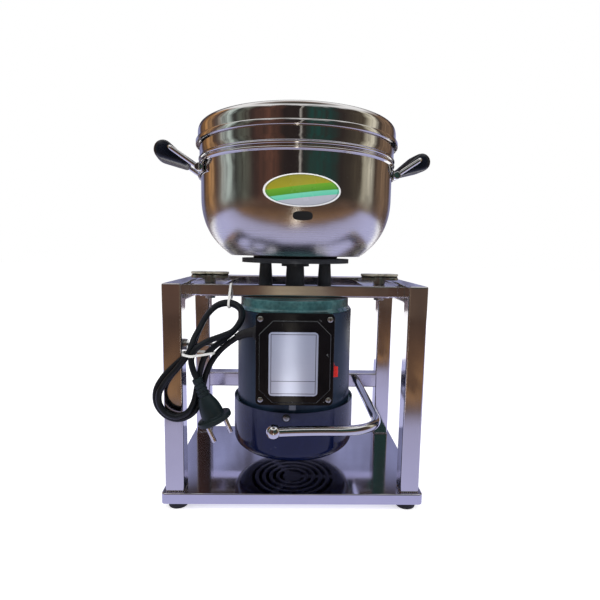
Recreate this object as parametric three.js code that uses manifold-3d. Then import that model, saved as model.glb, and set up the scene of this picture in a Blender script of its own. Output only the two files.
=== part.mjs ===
// Food grinder: a 22 cm steel pot with blades on a cast spider, over an upright electric motor
// that hangs in a polished square-tube stand. Millimetres, +Z up, +X to the right of the front.
// The origin is on the motor axis, on the surface that the rubber feet stand on.
import * as THREE from "three";
import { mergeVertices } from "three/addons/utils/BufferGeometryUtils.js";
import Module from "manifold-3d";

const wasm = await Module();
wasm.setup();

// General clearances
const gap = 0.3;
const overrun = 2;
const runningGap = 0.5;
const sides = 32;
const fewSides = 16;
const cornerSegments = 2;
const outlineSegments = 4;
const curveSegments = 6;

// Stand: square tubes, seen from the front
const standWidth = 274;
const standDepth = 178;
const tube = 20;
const tubeWall = 1.2;
const tubeCorner = 1.8;
const frontRailHeight = 12.5;
const frontRailDepth = 13;
const frontRailDrop = 4.2;
const frontRailClearance = 16.6;
const backRailClearance = 2.4;
const motorBarWidth = 35;
const midRailRise = 7;

// Tray and feet
const trayTop = 20;
const trayLip = 4;
const traySheet = 1.2;
const traySkirt = 11.5;
const trayCorner = 5;
const footTopRadius = 12;
const footBottomRadius = 10.5;
const footClearance = 2;

// Motor mounting plate and its two clamps
const plateThickness = 2.4;
const plateFrontSetback = 18;
const plateLength = 74;
const plateEdge = 6;
const plateBore = 14;
const studRadius = 3;
const studHeadRadius = 6;
const studHeadHeight = 4;
const studShift = 2.5;
const nutHubRadius = 7;
const nutHeight = 12.4;
const lobeRadius = 10.6;
const lobeThickness = 4.2;
const lobeReach = 12;

// Motor
const barrelRadius = 68.2;
const barrelWall = 3;
const barrelLength = 110.3;
const shieldHeight = 14.2;
const shieldWall = 5;
const shieldShoulderInset = 3.8;
const shieldShoulderRise = 4.4;
const spigotDepth = 5;
const bearingRadius = 16;
const bearingWidth = 11;
const bearingWeb = 3;
const shaftRadius = 8;
const shaftBottomRise = 13.4;
const bladeSpindleRadius = 6;
const statorOuterGap = 0.3;
const statorBuild = 26.9;
const stackRise = 24.6;
const stackHeight = 62;
const windingHeight = 12;
const windingInset = 5;
const airGap = 0.5;

// Fan and cowl
const cowlProud = 4.4;
const cowlWall = 1.2;
const cowlHeight = 59;
const cowlClearance = 25.6;
const cowlOverlap = 3.2;
const cowlCorner = 13;
const slotWidth = 4.2;
const slotPitch = 8.8;
const slotFirstRadius = 14;
const slotRings = 5;
const slotSpoke = 7;
const slotArcSteps = 1;
const spokes = 3;
const flangeHeight = 8.2;
const fanTipGap = 9.4;
const fanDiscThickness = 2;
const fanBladeHeight = 15;
const fanBladeThickness = 2;
const fanHubRadius = 13;
const fanTopGap = 10.9;
const fanBlades = 8;

// Terminal box
const boxWidth = 76;
const boxHeight = 91;
const boxRise = 22.4;
const boxDepth = 22.8;
const boxWall = 2.4;
const boxCorner = 4;
const boxFloorDepth = 16;
const coverLip = 2;
const coverTopLip = 2.5;
const coverPlate = 3;
const coverRaise = 3;
const coverWall = 2;
const coverCorner = 5;
const octagonInset = 3.5;
const octagonTopInset = 5.25;
const octagonCut = 14;
const octagonRise = -2.1;
const ratingWidth = 50;
const ratingHeight = 66;
const ratingThickness = 0.8;
const ratingCorner = 4;
const ratingShift = -1.5;
const ratingDrop = 3.6;
const capacitorWidth = 38;
const capacitorHeight = 26;
const capacitorDepth = 14;
const capacitorCorner = 3;
const capacitorRise = 22.7;

// Rocker switch on the right wall of the box
const bezelRim = 1.7;
const bezelEdge = 1.5;
const bezelLip = 1;
const bezelProud = 1.6;
const switchDepth = 13;
const rockerLength = 16.4;
const rockerHeight = 11.4;
const rockerProud = 6.4;
const rockerBury = 3;
const rockerDip = 2.2;
const rockerTilt = 8;
const pocketPlay = 0.6;
const switchSetback = 13;
const switchRise = 31.2;

// Gland on the left wall of the box
const glandRise = 70.2;
const glandSetback = 15;
const glandNutRadius = 7.6;
const glandNutLength = 5;
const glandSleeveRadius = 5.6;
const glandTipRadius = 4;
const glandNeckRadius = 5;
const glandNeckLength = 8;
const glandLength = 24;
const glandDroop = 35;
const glandSteps = 4;

// Swing handle
const handleRodRadius = 5.1;
const handleBallRadius = 7.5;
const handlePlaceShare = 0.392;
const handleArmProud = 16.5;
const handleBallX = 20.5;
const handleBendX = 42;
const handleBendY = 43;
const handleBendLead = 4;
const handleEndPlay = 1.8;
const rodSteps = 22;
const rodSides = 10;

// Cord peg on the front left leg
const pegZ = 180;
const pegHeadRadius = 6;
const pegHeadLength = 3.6;
const pegRadius = 1.5;
const pegLength = 36;

// Cast spider under the pot
const spiderPlateRadius = 63.6;
const spiderHeight = 42.4;
const spiderPlateThickness = 5;
const spiderFootLength = 98;
const spiderFootWidth = 34;
const spiderFootHeight = 5;
const spiderFootFlat = 1.5;
const spiderCollarRadius = 14;
const spiderCollarRise = 6.5;
const postCircle = 35.5;
const postTopRadius = 6.8;
const postBottomRadius = 9;
const housingTopRadius = 10.5;
const housingBottomRadius = 12.2;
const housingBoss = 16.5;
const housingBossHeight = 4.5;
const housingPlay = 0.6;
const gasketRadius = 50;
const gasketThickness = 2.3;
const sealRadius = 14;
const sealHeight = 4.4;

// Pot
const potBottomInset = 33.8;
const potRadius = 109.6;
const potWall = 1.2;
const potCornerHeight = 64.1;
const potCornerOut = 19.2;
const potCornerRise = 13.1;
const potCornerPull = 32;
const potCornerSteps = 4;
const beadRise = 98.9;
const beadPitch = 4.7;
const beadProud = 2.6;
const beadShoulderShare = 0.25;
const beadValleyShare = 0.33;
const collarProud = 1.4;
const collarHeight = 13.4;
const rimRollProud = 2;
const rimRollHeight = 2.9;
const rimRollBite = 0.5;

// Lid
const lidLipOverhang = 2;
const lidLipDrop = 0.2;
const lidLipHeight = 4.4;
const lidLipStep = 2.4;
const lidSideHeight = 7.2;
const lidShoulderInset = 24.6;
const lidShoulderRise = 16.4;
const lidDomeRise = 10.6;
const lidShoulderPull = 9;
const lidShoulderOut = 14;
const lidSteps = 4;
const lidSheet = 1;
const knobRadius = 17;
const knobNeckRadius = 8;
const knobWaistRadius = 6.4;
const knobWaistRise = 6;
const knobUnderside = 7.2;
const knobEdgeTop = 10.2;
const knobCrownRadius = 12.8;
const knobHeight = 12;
const knobStudRadius = 2.5;
const knobStudLength = 6;

// Pot handles
const potTurn = 8;
const gripEndPlay = 6.5;
const gripFatRadius = 10.5;
const gripThinRadius = 4.6;
const gripFatOut = 8;
const gripThinIn = 15;
const gripThinDrop = 12;
const crossbarReach = 31.4;
const crossbarRise = 14.2;
const wireRadius = 2.6;
const wireSpread = 60;
const wireCorner = 5;
const wireSteps = 26;
const wireSides = 6;
const strapOverhang = 5;
const strapHeight = 11;
const strapThickness = 2;
const strapDrop = 0.5;
const lugRadius = 4.4;
const lugLength = 12;

// Blades
const hubRadius = 12;
const hubClearance = 0.8;
const hubHeight = 6;
const bladeThickness = 2;
const bladeEyeRadius = 12;
const bladeSpacing = 10;
const lowerBladeOverhang = 8.2;
const upperBladeSetback = 8;
const bladeSweep = 22;
const bladeRootWidth = 17;
const bladeTipWidth = 9;
const upperBladeTurn = 90;
const nutAcross = 10;
const nutSides = 6;
const bladeNutHeight = 8;

// Mains cord: a round lead of fixed length, put away in a hank that hangs from the front rail
const cordDiameter = 6.2;
const cordSides = 8;
const hankSides = 6;
const turnSamples = 25;
const hankSteps = 54;
const hankPitch = 7.6;
const lowerNest = 5;
const upperNest = 1;
const hankStart = 0.08;
const climbStart = 0.8;
const climbEnd = 1;
const hankEnd = 1.9;
const waistX = -99;
const waistY = -81;
const waistZ = 174;
// Points round one turn from the right side of the waist, as shares of hankSpan from the waist
const hankSpan = 100;
const hankShares = [
  [0.055, 0.002, -0.06],
  [0.05, -0.025, -0.23],
  [0.026, -0.06, -0.44],
  [-0.04, -0.075, -0.615],
  [-0.215, -0.075, -0.704],
  [-0.375, -0.07, -0.642],
  [-0.452, -0.068, -0.47],
  [-0.38, -0.07, -0.28],
  [-0.23, -0.07, -0.12],
  [-0.085, -0.03, 0.02],
  [-0.05, 0.065, 0.145],
  [-0.015, 0.18, 0.245],
  [0.03, 0.29, 0.35],
  [0.115, 0.375, 0.44],
  [0.23, 0.41, 0.476],
  [0.345, 0.385, 0.448],
  [0.414, 0.31, 0.37],
  [0.395, 0.21, 0.265],
  [0.295, 0.115, 0.155],
  [0.15, 0.04, 0.05],
];
const waistIndex = 9;
// How far the tail and the lead run on along their headings before they turn
const tailPullStart = 16;
const tailPullEnd = 38;
const tailPoints = 7;
const leadPullStart = 17;
const leadPullEnd = 19;
const leadSteps = 8;
const measureSamples = 700;

// Plug and ties
const plugX = -98.5;
const plugY = -100;
const plugZ = 151;
const plugLean = 23;
const plugSpin = 62;
const plugSleeveRadius = 5;
const plugSleeveLength = 20;
const plugBodyTopRadius = 6.6;
const plugBodyRadius = 11.5;
const plugBodyLength = 22;
const plugFlangeRadius = 17.5;
const plugFlangeThickness = 6;
const pinRadius = 2.4;
const pinLength = 19;
const pinSpacing = 19;
const tieThickness = 0.9;
const tieWidth = 2.4;
const tieSlack = 0.8;
const tieSides = 12;
const railTieX = -73;

// Levels from the tray upwards, and the radii and lengths that follow from the sizes above
const cowlBottom = trayTop + cowlClearance;
const cowlTop = cowlBottom + cowlHeight;
const barrelBottom = cowlTop - cowlOverlap;
const barrelTop = barrelBottom + barrelLength;
const plateBottom = barrelTop + shieldHeight;
const plateTop = plateBottom + plateThickness;
const frontRailTop = plateTop + frontRailHeight;
const legTop = frontRailTop + frontRailDrop;
const midRailTop = barrelBottom + midRailRise;
const stackBottom = barrelBottom + stackRise;
const cowlRadius = barrelRadius + cowlProud;
const shaftBottom = cowlBottom + shaftBottomRise;
const fanRadius = cowlRadius - cowlWall - fanTipGap;
const boxFront = barrelRadius + boxDepth;
const boxBottom = barrelBottom + boxRise;
const coverWidth = boxWidth + 2 * coverLip;
const coverHeight = boxHeight + 2 * coverTopLip;
const octagonWidth = coverWidth - 2 * octagonInset;
const octagonHeight = coverHeight - 2 * octagonTopInset;
const pocketLength = rockerLength + 2 * pocketPlay;
const pocketHeight = rockerHeight + 2 * gap;
const bezelLength = pocketLength + 2 * bezelRim;
const bezelHeight = pocketHeight + 2 * bezelEdge;
const housingBore = shaftRadius + housingPlay;
const spiderFootBottom = plateTop + gap;
const spiderPlateTop = spiderFootBottom + spiderHeight;
const potBottom = spiderPlateTop + gasketThickness + 2 * gap;
const potBottomRadius = potRadius - potBottomInset;
const potCornerTop = potBottom + potCornerHeight;
const beadBottom = potBottom + beadRise;
const collarRadius = potRadius + collarProud;
const rimRollBottom = beadBottom + 2 * beadPitch + collarHeight;
const rimRollRadius = collarRadius + rimRollProud;
const lidLipRadius = rimRollRadius + lidLipOverhang;
const lidLipBottom = rimRollBottom - lidLipDrop;
const lidLipTop = lidLipBottom + lidLipHeight;
const lidSideRadius = lidLipRadius - lidLipStep;
const lidSideTop = lidLipTop + lidSideHeight;
const lidShoulderRadius = lidSideRadius - lidShoulderInset;
const lidShoulderZ = lidSideTop + lidShoulderRise;
const lidTop = lidShoulderZ + lidDomeRise;
const strapWidth = wireSpread + 2 * strapOverhang;
const gripLength = wireSpread - 2 * gripEndPlay;
const lowerBladeReach = potBottomRadius + lowerBladeOverhang;
const upperBladeReach = lowerBladeReach - upperBladeSetback;

// Finishes
const finish = (colour, roughness, metalness) =>
  new THREE.MeshStandardMaterial({ color: colour, roughness, metalness });
const polishedSteel = () => finish(0xc9c7cf, 0.12, 1);
const brushedSteel = () => finish(0xb9b6ae, 0.3, 1);
const chrome = () => finish(0xd9d9dc, 0.08, 1);
const zinc = () => finish(0xaeb0ab, 0.4, 0.9);
const castIron = () => finish(0x23272e, 0.75, 0.4);
const motorPaint = () => finish(0x24354a, 0.35, 0.3);
const hammeredPaint = () => finish(0x2b5f66, 0.4, 0.4);
const glossBlack = () => finish(0x0c0d12, 0.18, 0);
const cowlPaint = () => finish(0x161b33, 0.15, 0.3);
const blackRubber = () => finish(0x1a1b1f, 0.8, 0);
const bakelite = () => finish(0x14161b, 0.3, 0);
const redPlastic = () => finish(0xd0281e, 0.35, 0);
const copper = () => finish(0xb0602f, 0.45, 0.8);
const siliconSteel = () => finish(0x6d7075, 0.55, 0.8);
const whitePlastic = () => finish(0xe8e6de, 0.5, 0);

// Solid helpers
function solidOf(geometry) {
  const bare = geometry.index ? geometry.toNonIndexed() : geometry.clone();
  bare.deleteAttribute("normal");
  bare.deleteAttribute("uv");
  const merged = mergeVertices(bare, 1e-4);
  return new wasm.Manifold(
    new wasm.Mesh({
      numProp: 3,
      vertProperties: merged.attributes.position.array,
      triVerts: new Uint32Array(merged.index.array),
    }),
  );
}

function geometryOf(solid) {
  const mesh = solid.getMesh();
  const geometry = new THREE.BufferGeometry();
  geometry.setAttribute("position", new THREE.BufferAttribute(mesh.vertProperties, 3));
  geometry.setIndex(new THREE.BufferAttribute(mesh.triVerts, 1));
  const facets = geometry.toNonIndexed();
  facets.computeVertexNormals();
  return facets;
}

const joined = (...pieces) => geometryOf(pieces.map(solidOf).reduce((a, b) => a.add(b)));
const cut = (body, ...tools) =>
  geometryOf(tools.map(solidOf).reduce((a, b) => a.subtract(b), solidOf(body)));

const common = (a, b) => geometryOf(solidOf(a).intersect(solidOf(b)));

// A box between two corners
function block(low, high) {
  const size = high.map((value, i) => value - low[i]);
  const middle = high.map((value, i) => (value + low[i]) / 2);
  return new THREE.BoxGeometry(...size).translate(...middle);
}

// An upright cylinder or cone from bottom to top
function post(radiusBottom, radiusTop, bottom, top, count = fewSides) {
  return new THREE.CylinderGeometry(radiusTop, radiusBottom, top - bottom, count)
    .rotateX(Math.PI / 2)
    .translate(0, 0, (top + bottom) / 2);
}

// A turned piece: [radius, height] points of its half section, listed counterclockwise
function turned(points, count = sides) {
  const profile = points.map(([radius, height]) => new THREE.Vector2(radius, height));
  return new THREE.LatheGeometry(profile, count).rotateX(Math.PI / 2);
}

// A turned ring: the section closes on itself
const ring = (points, count = sides) => turned([...points, points[0]], count);

// The section of a bent sheet: its outer points, then the same offset by the sheet's thickness.
// The points run with the metal on their left.
function sheetSection(points, thickness) {
  const offset = points.map(([x, y], i) => {
    const [ax, ay] = points[Math.max(i - 1, 0)];
    const [bx, by] = points[Math.min(i + 1, points.length - 1)];
    const before = new THREE.Vector2(x - ax, y - ay);
    const after = new THREE.Vector2(bx - x, by - y);
    if (i === 0) before.copy(after);
    if (i === points.length - 1) after.copy(before);
    before.normalize();
    after.normalize();
    const mean = before.clone().add(after).normalize();
    const reach = thickness / mean.dot(after);
    return [x - mean.y * reach, y + mean.x * reach];
  });
  return [...points, ...offset.reverse()];
}

const degrees = (angle) => (angle * Math.PI) / 180;

// A rectangular outline with round corners, centred
function roundedOutline(width, height, radius, Kind = THREE.Shape) {
  const x = width / 2;
  const y = height / 2;
  const shape = new Kind();
  shape.moveTo(radius - x, -y);
  shape.lineTo(x - radius, -y);
  shape.absarc(x - radius, radius - y, radius, -Math.PI / 2, 0);
  shape.lineTo(x, y - radius);
  shape.absarc(x - radius, y - radius, radius, 0, Math.PI / 2);
  shape.lineTo(radius - x, y);
  shape.absarc(radius - x, y - radius, radius, Math.PI / 2, Math.PI);
  shape.lineTo(-x, radius - y);
  shape.absarc(radius - x, radius - y, radius, Math.PI, Math.PI * 1.5);
  return shape;
}

const extruded = (shape, depth, segments = outlineSegments) =>
  new THREE.ExtrudeGeometry(shape, { depth, bevelEnabled: false, curveSegments: segments });

// A hollow rectangular tube of the given length, centred, running along Z
function hollowTube(width, height, length) {
  const shape = roundedOutline(width, height, tubeCorner);
  const inner = tubeCorner - tubeWall;
  shape.holes.push(
    roundedOutline(width - 2 * tubeWall, height - 2 * tubeWall, inner, THREE.Path),
  );
  return extruded(shape, length, cornerSegments).translate(0, 0, -length / 2);
}

// An XZ outline extruded towards the back from the plane at the given depth
const facePlate = (shape, thickness, frontY, segments = outlineSegments) =>
  extruded(shape, thickness, segments)
    .rotateX(Math.PI / 2)
    .translate(0, frontY + thickness, 0);

// A round bar of constant section along a curve
function barAlong(curve, radius, steps, count) {
  const section = new THREE.Shape();
  for (let i = 0; i < count; i += 1) {
    const angle = (i / count) * Math.PI * 2;
    const x = radius * Math.cos(angle);
    const y = radius * Math.sin(angle);
    if (i === 0) section.moveTo(x, y);
    else section.lineTo(x, y);
  }
  section.closePath();
  return new THREE.ExtrudeGeometry(section, {
    steps,
    extrudePath: curve,
    bevelEnabled: false,
    curveSegments: 1,
  });
}

const grinder = new THREE.Group();
grinder.name = "food_grinder";

function add(name, geometry, material, parent = grinder) {
  const mesh = new THREE.Mesh(geometry, material);
  mesh.name = name;
  parent.add(mesh);
  return mesh;
}

// Stand
const backRailFace = cowlRadius + backRailClearance;
const standCentreY = backRailFace + tube - standDepth / 2;
const legX = (standWidth - tube) / 2;
const legFrontY = standCentreY - (standDepth - tube) / 2;
const legBackY = standCentreY + (standDepth - tube) / 2;
const railSpan = standDepth - 2 * tube;
const innerWidth = standWidth - 2 * tube;
const barX = (innerWidth - motorBarWidth) / 2;
const studX = barX + studShift;
const frontRailFace = -spiderFootWidth / 2 - frontRailClearance;
const frontRailBack = frontRailFace + frontRailDepth;
const frontRailBottom = frontRailTop - frontRailHeight;
const midRailZ = midRailTop - tube / 2;
const sideNames = [
  ["left", -1],
  ["right", 1],
];

function makeLeg(name, x, y) {
  const height = legTop - trayTop;
  const open = hollowTube(tube, tube, height).translate(0, 0, trayTop + height / 2);
  const cap = extruded(roundedOutline(tube, tube, tubeCorner), tubeWall, cornerSegments);
  cap.translate(0, 0, legTop - tubeWall);
  add(name, joined(open, cap).translate(x, y, 0), polishedSteel());
}

for (const [side, sign] of sideNames) {
  makeLeg(`leg_front_${side}`, sign * legX, legFrontY);
  makeLeg(`leg_back_${side}`, sign * legX, legBackY);
  const rail = hollowTube(tube, tube, railSpan).rotateX(Math.PI / 2);
  rail.translate(sign * legX, standCentreY, legTop - tube / 2);
  add(`side_rail_${side}`, rail, polishedSteel());

  // Motor bars run from the front rail to the back rail, with a hole for the clamp stud
  const barLength = backRailFace - frontRailBack;
  const bar = hollowTube(motorBarWidth, frontRailHeight, barLength).rotateX(Math.PI / 2);
  bar.translate(sign * barX, frontRailBack + barLength / 2, frontRailTop - frontRailHeight / 2);
  const hole = post(
    studRadius + gap,
    studRadius + gap,
    frontRailBottom - overrun,
    frontRailTop + overrun,
    fewSides,
  ).translate(sign * studX, 0, 0);
  add(`motor_bar_${side}`, cut(bar, hole), polishedSteel());
}

const frontRail = hollowTube(frontRailHeight, frontRailDepth, innerWidth).rotateY(Math.PI / 2);
frontRail.translate(0, frontRailFace + frontRailDepth / 2, frontRailTop - frontRailHeight / 2);
add("front_rail", frontRail, polishedSteel());

const backTopRail = hollowTube(tube, tube, innerWidth).rotateY(Math.PI / 2);
backTopRail.translate(0, legBackY, legTop - tube / 2);
add("back_top_rail", backTopRail, polishedSteel());

const midRailBody = hollowTube(tube, tube, innerWidth).rotateY(Math.PI / 2);
midRailBody.translate(0, legBackY, midRailZ);
const handleX = cowlRadius + (innerWidth / 2 - cowlRadius) * handlePlaceShare;
const handleArmY = boxFront + handleArmProud;
const handleHole = post(
  handleRodRadius + gap,
  handleRodRadius + gap,
  backRailFace - overrun,
  backRailFace + tube / 2,
)
  .rotateX(-Math.PI / 2)
  .translate(handleX, 0, midRailZ);
add("back_mid_rail", cut(midRailBody, handleHole), polishedSteel());

// Folded tray: a flat sheet with a turned-down skirt
function makeTray() {
  const width = standWidth + 2 * trayLip;
  const depth = standDepth + 2 * trayLip;
  const outer = extruded(roundedOutline(width, depth, trayCorner), traySkirt);
  const inner = extruded(
    roundedOutline(width - 2 * traySheet, depth - 2 * traySheet, trayCorner - traySheet),
    traySkirt,
  ).translate(0, 0, -traySheet);
  const tray = cut(outer, inner);
  return tray.translate(0, standCentreY, trayTop - traySkirt);
}
add("base_tray", makeTray(), polishedSteel());

// Rubber feet, up to the underside of the sheet
const footInset = traySheet + footTopRadius + footClearance;
for (const [side, sign] of sideNames) {
  for (const [end, way] of [
    ["front", -1],
    ["back", 1],
  ]) {
    const foot = post(footBottomRadius, footTopRadius, 0, trayTop - traySheet);
    const x = sign * (standWidth / 2 + trayLip - footInset);
    const y = standCentreY + way * (standDepth / 2 + trayLip - footInset);
    add(`rubber_foot_${end}_${side}`, foot.translate(x, y, 0), blackRubber());
  }
}

// Mounting plate under the motor bars
const plateBody = block(
  [plateEdge - innerWidth / 2, -plateFrontSetback, plateBottom],
  [innerWidth / 2 - plateEdge, plateLength - plateFrontSetback, plateTop],
);
const plateCuts = [
  post(plateBore, plateBore, plateBottom - overrun, plateTop + overrun),
  ...sideNames.map(([, sign]) =>
    post(studRadius + gap, studRadius + gap, plateBottom - overrun, plateTop + overrun)
      .translate(sign * studX, 0, 0),
  ),
];
add("motor_mount_plate", cut(plateBody, ...plateCuts), zinc());

// Clamp studs and wing nuts
function makeStud() {
  return turned([
    [0, plateBottom - studHeadHeight],
    [studHeadRadius, plateBottom - studHeadHeight],
    [studHeadRadius, plateBottom],
    [studRadius, plateBottom],
    [studRadius, frontRailTop + nutHeight + gap],
    [0, frontRailTop + nutHeight + gap],
  ], fewSides);
}

function makeWingNut() {
  const hub = post(nutHubRadius, nutHubRadius, 0, nutHeight);
  const lobe = post(lobeRadius, lobeRadius, nutHeight - lobeThickness, nutHeight, fewSides);
  const lobes = [-1, 1].map((sign) => lobe.clone().translate(sign * lobeReach, 0, 0));
  const bore = post(studRadius + gap, studRadius + gap, -overrun, nutHeight + overrun);
  return cut(joined(hub, ...lobes), bore);
}

for (const [side, sign] of sideNames) {
  add(`clamp_stud_${side}`, makeStud().translate(sign * studX, 0, 0), zinc());
  const nut = makeWingNut().translate(sign * studX, 0, frontRailTop + gap);
  add(`wing_nut_${side}`, nut, zinc());
}

// Motor casing
const barrelInner = barrelRadius - barrelWall;
add(
  "motor_barrel",
  ring([
    [barrelInner, barrelBottom],
    [barrelRadius, barrelBottom],
    [barrelRadius, barrelTop],
    [barrelInner, barrelTop],
  ]),
  motorPaint(),
);

const shieldTop = plateBottom;
const pocketRadius = bearingRadius + gap;
const upperPocketTop = shieldTop - bearingWeb;
const upperPocketBottom = upperPocketTop - bearingWidth - gap;
const shaftHole = shaftRadius + runningGap;
const spigotRadius = barrelInner - gap;
add(
  "upper_end_shield",
  ring([
    [pocketRadius, upperPocketBottom],
    [pocketRadius + shieldWall, upperPocketBottom],
    [pocketRadius + shieldWall, shieldTop - shieldWall],
    [spigotRadius - shieldWall, shieldTop - shieldWall],
    [spigotRadius - shieldWall, barrelTop - spigotDepth],
    [spigotRadius, barrelTop - spigotDepth],
    [spigotRadius, barrelTop + gap],
    [barrelRadius, barrelTop + gap],
    [barrelRadius - shieldShoulderInset, barrelTop + shieldShoulderRise],
    [barrelRadius - shieldShoulderInset, shieldTop],
    [shaftHole, shieldTop],
    [shaftHole, upperPocketTop],
    [pocketRadius, upperPocketTop],
  ]),
  hammeredPaint(),
);

const flangeTop = barrelBottom - gap;
const flangeBottom = flangeTop - flangeHeight;
const flangeRadius = cowlRadius - cowlWall - gap;
const lowerPocketBottom = flangeBottom + bearingWeb;
const lowerPocketTop = lowerPocketBottom + bearingWidth + gap;
add(
  "lower_end_shield",
  ring([
    [shaftHole, flangeBottom],
    [flangeRadius, flangeBottom],
    [flangeRadius, flangeTop],
    [spigotRadius, flangeTop],
    [spigotRadius, flangeTop + spigotDepth],
    [spigotRadius - shieldWall, flangeTop + spigotDepth],
    [spigotRadius - shieldWall, flangeBottom + shieldWall],
    [pocketRadius + shieldWall, flangeBottom + shieldWall],
    [pocketRadius + shieldWall, lowerPocketTop],
    [pocketRadius, lowerPocketTop],
    [pocketRadius, lowerPocketBottom],
    [shaftHole, lowerPocketBottom],
  ]),
  hammeredPaint(),
);

function makeBearing(bottom) {
  return ring(
    [
      [shaftRadius + gap, bottom],
      [bearingRadius, bottom],
      [bearingRadius, bottom + bearingWidth],
      [shaftRadius + gap, bottom + bearingWidth],
    ],
    fewSides,
  );
}
add("upper_bearing", makeBearing(upperPocketBottom), siliconSteel());
add("lower_bearing", makeBearing(lowerPocketBottom + gap), siliconSteel());

// Stator stack with its two winding heads, and the rotor that runs in it
const statorRadius = barrelInner - statorOuterGap;
const statorInnerRadius = statorRadius - statorBuild;
const stackTop = stackBottom + stackHeight;
add(
  "motor_stator",
  ring([
    [statorInnerRadius, stackBottom],
    [statorInnerRadius + windingInset, stackBottom],
    [statorInnerRadius + windingInset, stackBottom - windingHeight],
    [statorRadius - windingInset, stackBottom - windingHeight],
    [statorRadius - windingInset, stackBottom],
    [statorRadius, stackBottom],
    [statorRadius, stackTop],
    [statorRadius - windingInset, stackTop],
    [statorRadius - windingInset, stackTop + windingHeight],
    [statorInnerRadius + windingInset, stackTop + windingHeight],
    [statorInnerRadius + windingInset, stackTop],
    [statorInnerRadius, stackTop],
  ]),
  copper(),
);
add(
  "motor_rotor",
  ring([
    [shaftRadius + gap, stackBottom],
    [statorInnerRadius - airGap, stackBottom],
    [statorInnerRadius - airGap, stackTop],
    [shaftRadius + gap, stackTop],
  ]),
  siliconSteel(),
);

// Shaft, from the fan up to the blades
const hubBottom = spiderPlateTop + spiderCollarRise + gap + sealHeight + hubClearance;
const lowerBladeBottom = hubBottom + hubHeight + gap;
const upperBladeBottom = lowerBladeBottom + bladeThickness + gap;
const bladeNutBottom = upperBladeBottom + bladeSpacing + gap;
const spindleTop = bladeNutBottom + bladeNutHeight;
const spindleShoulder = hubBottom - gap;
add(
  "motor_shaft",
  turned(
    [
      [0, shaftBottom],
      [shaftRadius, shaftBottom],
      [shaftRadius, spindleShoulder],
      [bladeSpindleRadius, spindleShoulder],
      [bladeSpindleRadius, spindleTop],
      [0, spindleTop],
    ],
    fewSides,
  ),
  chrome(),
);

// Radial cooling fan
const fanTop = flangeBottom - fanTopGap;
function makeFan() {
  const discBottom = fanTop - fanDiscThickness;
  const bladeBottom = discBottom - fanBladeHeight;
  const disc = post(fanRadius, fanRadius, discBottom, fanTop, sides);
  const hub = post(fanHubRadius, fanHubRadius, bladeBottom, fanTop);
  const blades = [];
  for (let i = 0; i < fanBlades; i += 1) {
    const blade = block(
      [fanHubRadius - overrun, -fanBladeThickness / 2, bladeBottom],
      [fanRadius - overrun, fanBladeThickness / 2, fanTop - fanDiscThickness / 2],
    );
    blades.push(blade.rotateZ((i / fanBlades) * Math.PI * 2));
  }
  const bore = post(
    shaftRadius + gap,
    shaftRadius + gap,
    bladeBottom - overrun,
    fanTop + overrun,
  );
  return cut(joined(disc, hub, ...blades), bore);
}
add("cooling_fan", makeFan(), blackRubber());

// Fan cowl with rings of curved air slots in its floor
function ringSlot(radius, start, sweep) {
  const shape = new THREE.Shape();
  shape.absarc(0, 0, radius + slotWidth / 2, start, start + sweep, false);
  shape.absarc(0, 0, radius - slotWidth / 2, start + sweep, start, true);
  shape.closePath();
  const steps = Math.round(radius / slotPitch) + slotArcSteps;
  return extruded(shape, cowlWall + 2 * overrun, steps).translate(0, 0, cowlBottom - overrun);
}

function makeCowl() {
  const arcSteps = 3;
  const profile = [[0, cowlBottom]];
  const corner = (radius, turn) => [
    cowlRadius - cowlCorner + radius * Math.sin(turn),
    cowlBottom + cowlCorner - radius * Math.cos(turn),
  ];
  const quarter = Math.PI / 2;
  for (let i = 0; i <= arcSteps; i += 1) profile.push(corner(cowlCorner, (i / arcSteps) * quarter));
  profile.push([cowlRadius, cowlTop], [cowlRadius - cowlWall, cowlTop]);
  const innerCorner = cowlCorner - cowlWall;
  for (let i = arcSteps; i >= 0; i -= 1) profile.push(corner(innerCorner, (i / arcSteps) * quarter));
  profile.push([0, cowlBottom + cowlWall]);
  const slots = [];
  for (let i = 0; i < slotRings; i += 1) {
    const radius = slotFirstRadius + i * slotPitch;
    const spokeAngle = slotSpoke / radius;
    const sweep = (Math.PI * 2) / spokes - spokeAngle;
    for (let k = 0; k < spokes; k += 1) {
      const start = (k / spokes) * Math.PI * 2 + spokeAngle / 2;
      slots.push(ringSlot(radius, start, sweep));
    }
  }
  return cut(turned(profile), ...slots);
}
add("fan_cowl", makeCowl(), cowlPaint());

// Terminal box: a deep tray whose back fits the barrel
const boxCentreZ = boxBottom + boxHeight / 2;
const saddleRadius = barrelRadius + gap;
const boxTop = boxBottom + boxHeight;
const switchY = switchSetback - boxFront;
const switchBodyLength = bezelLength - 2 * bezelLip;
const switchBodyHeight = bezelHeight - 2 * bezelLip;
const glandY = glandSetback - boxFront;
const switchZ = boxBottom + switchRise;
const glandZ = boxBottom + glandRise;
const boxSideX = boxWidth / 2;

// A cylinder along X through the left wall of the box
const glandHole = () =>
  post(glandNeckRadius + gap, glandNeckRadius + gap, -glandNeckLength - gap, overrun)
    .rotateY(-Math.PI / 2)
    .translate(-boxSideX, glandY, glandZ);

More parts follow.
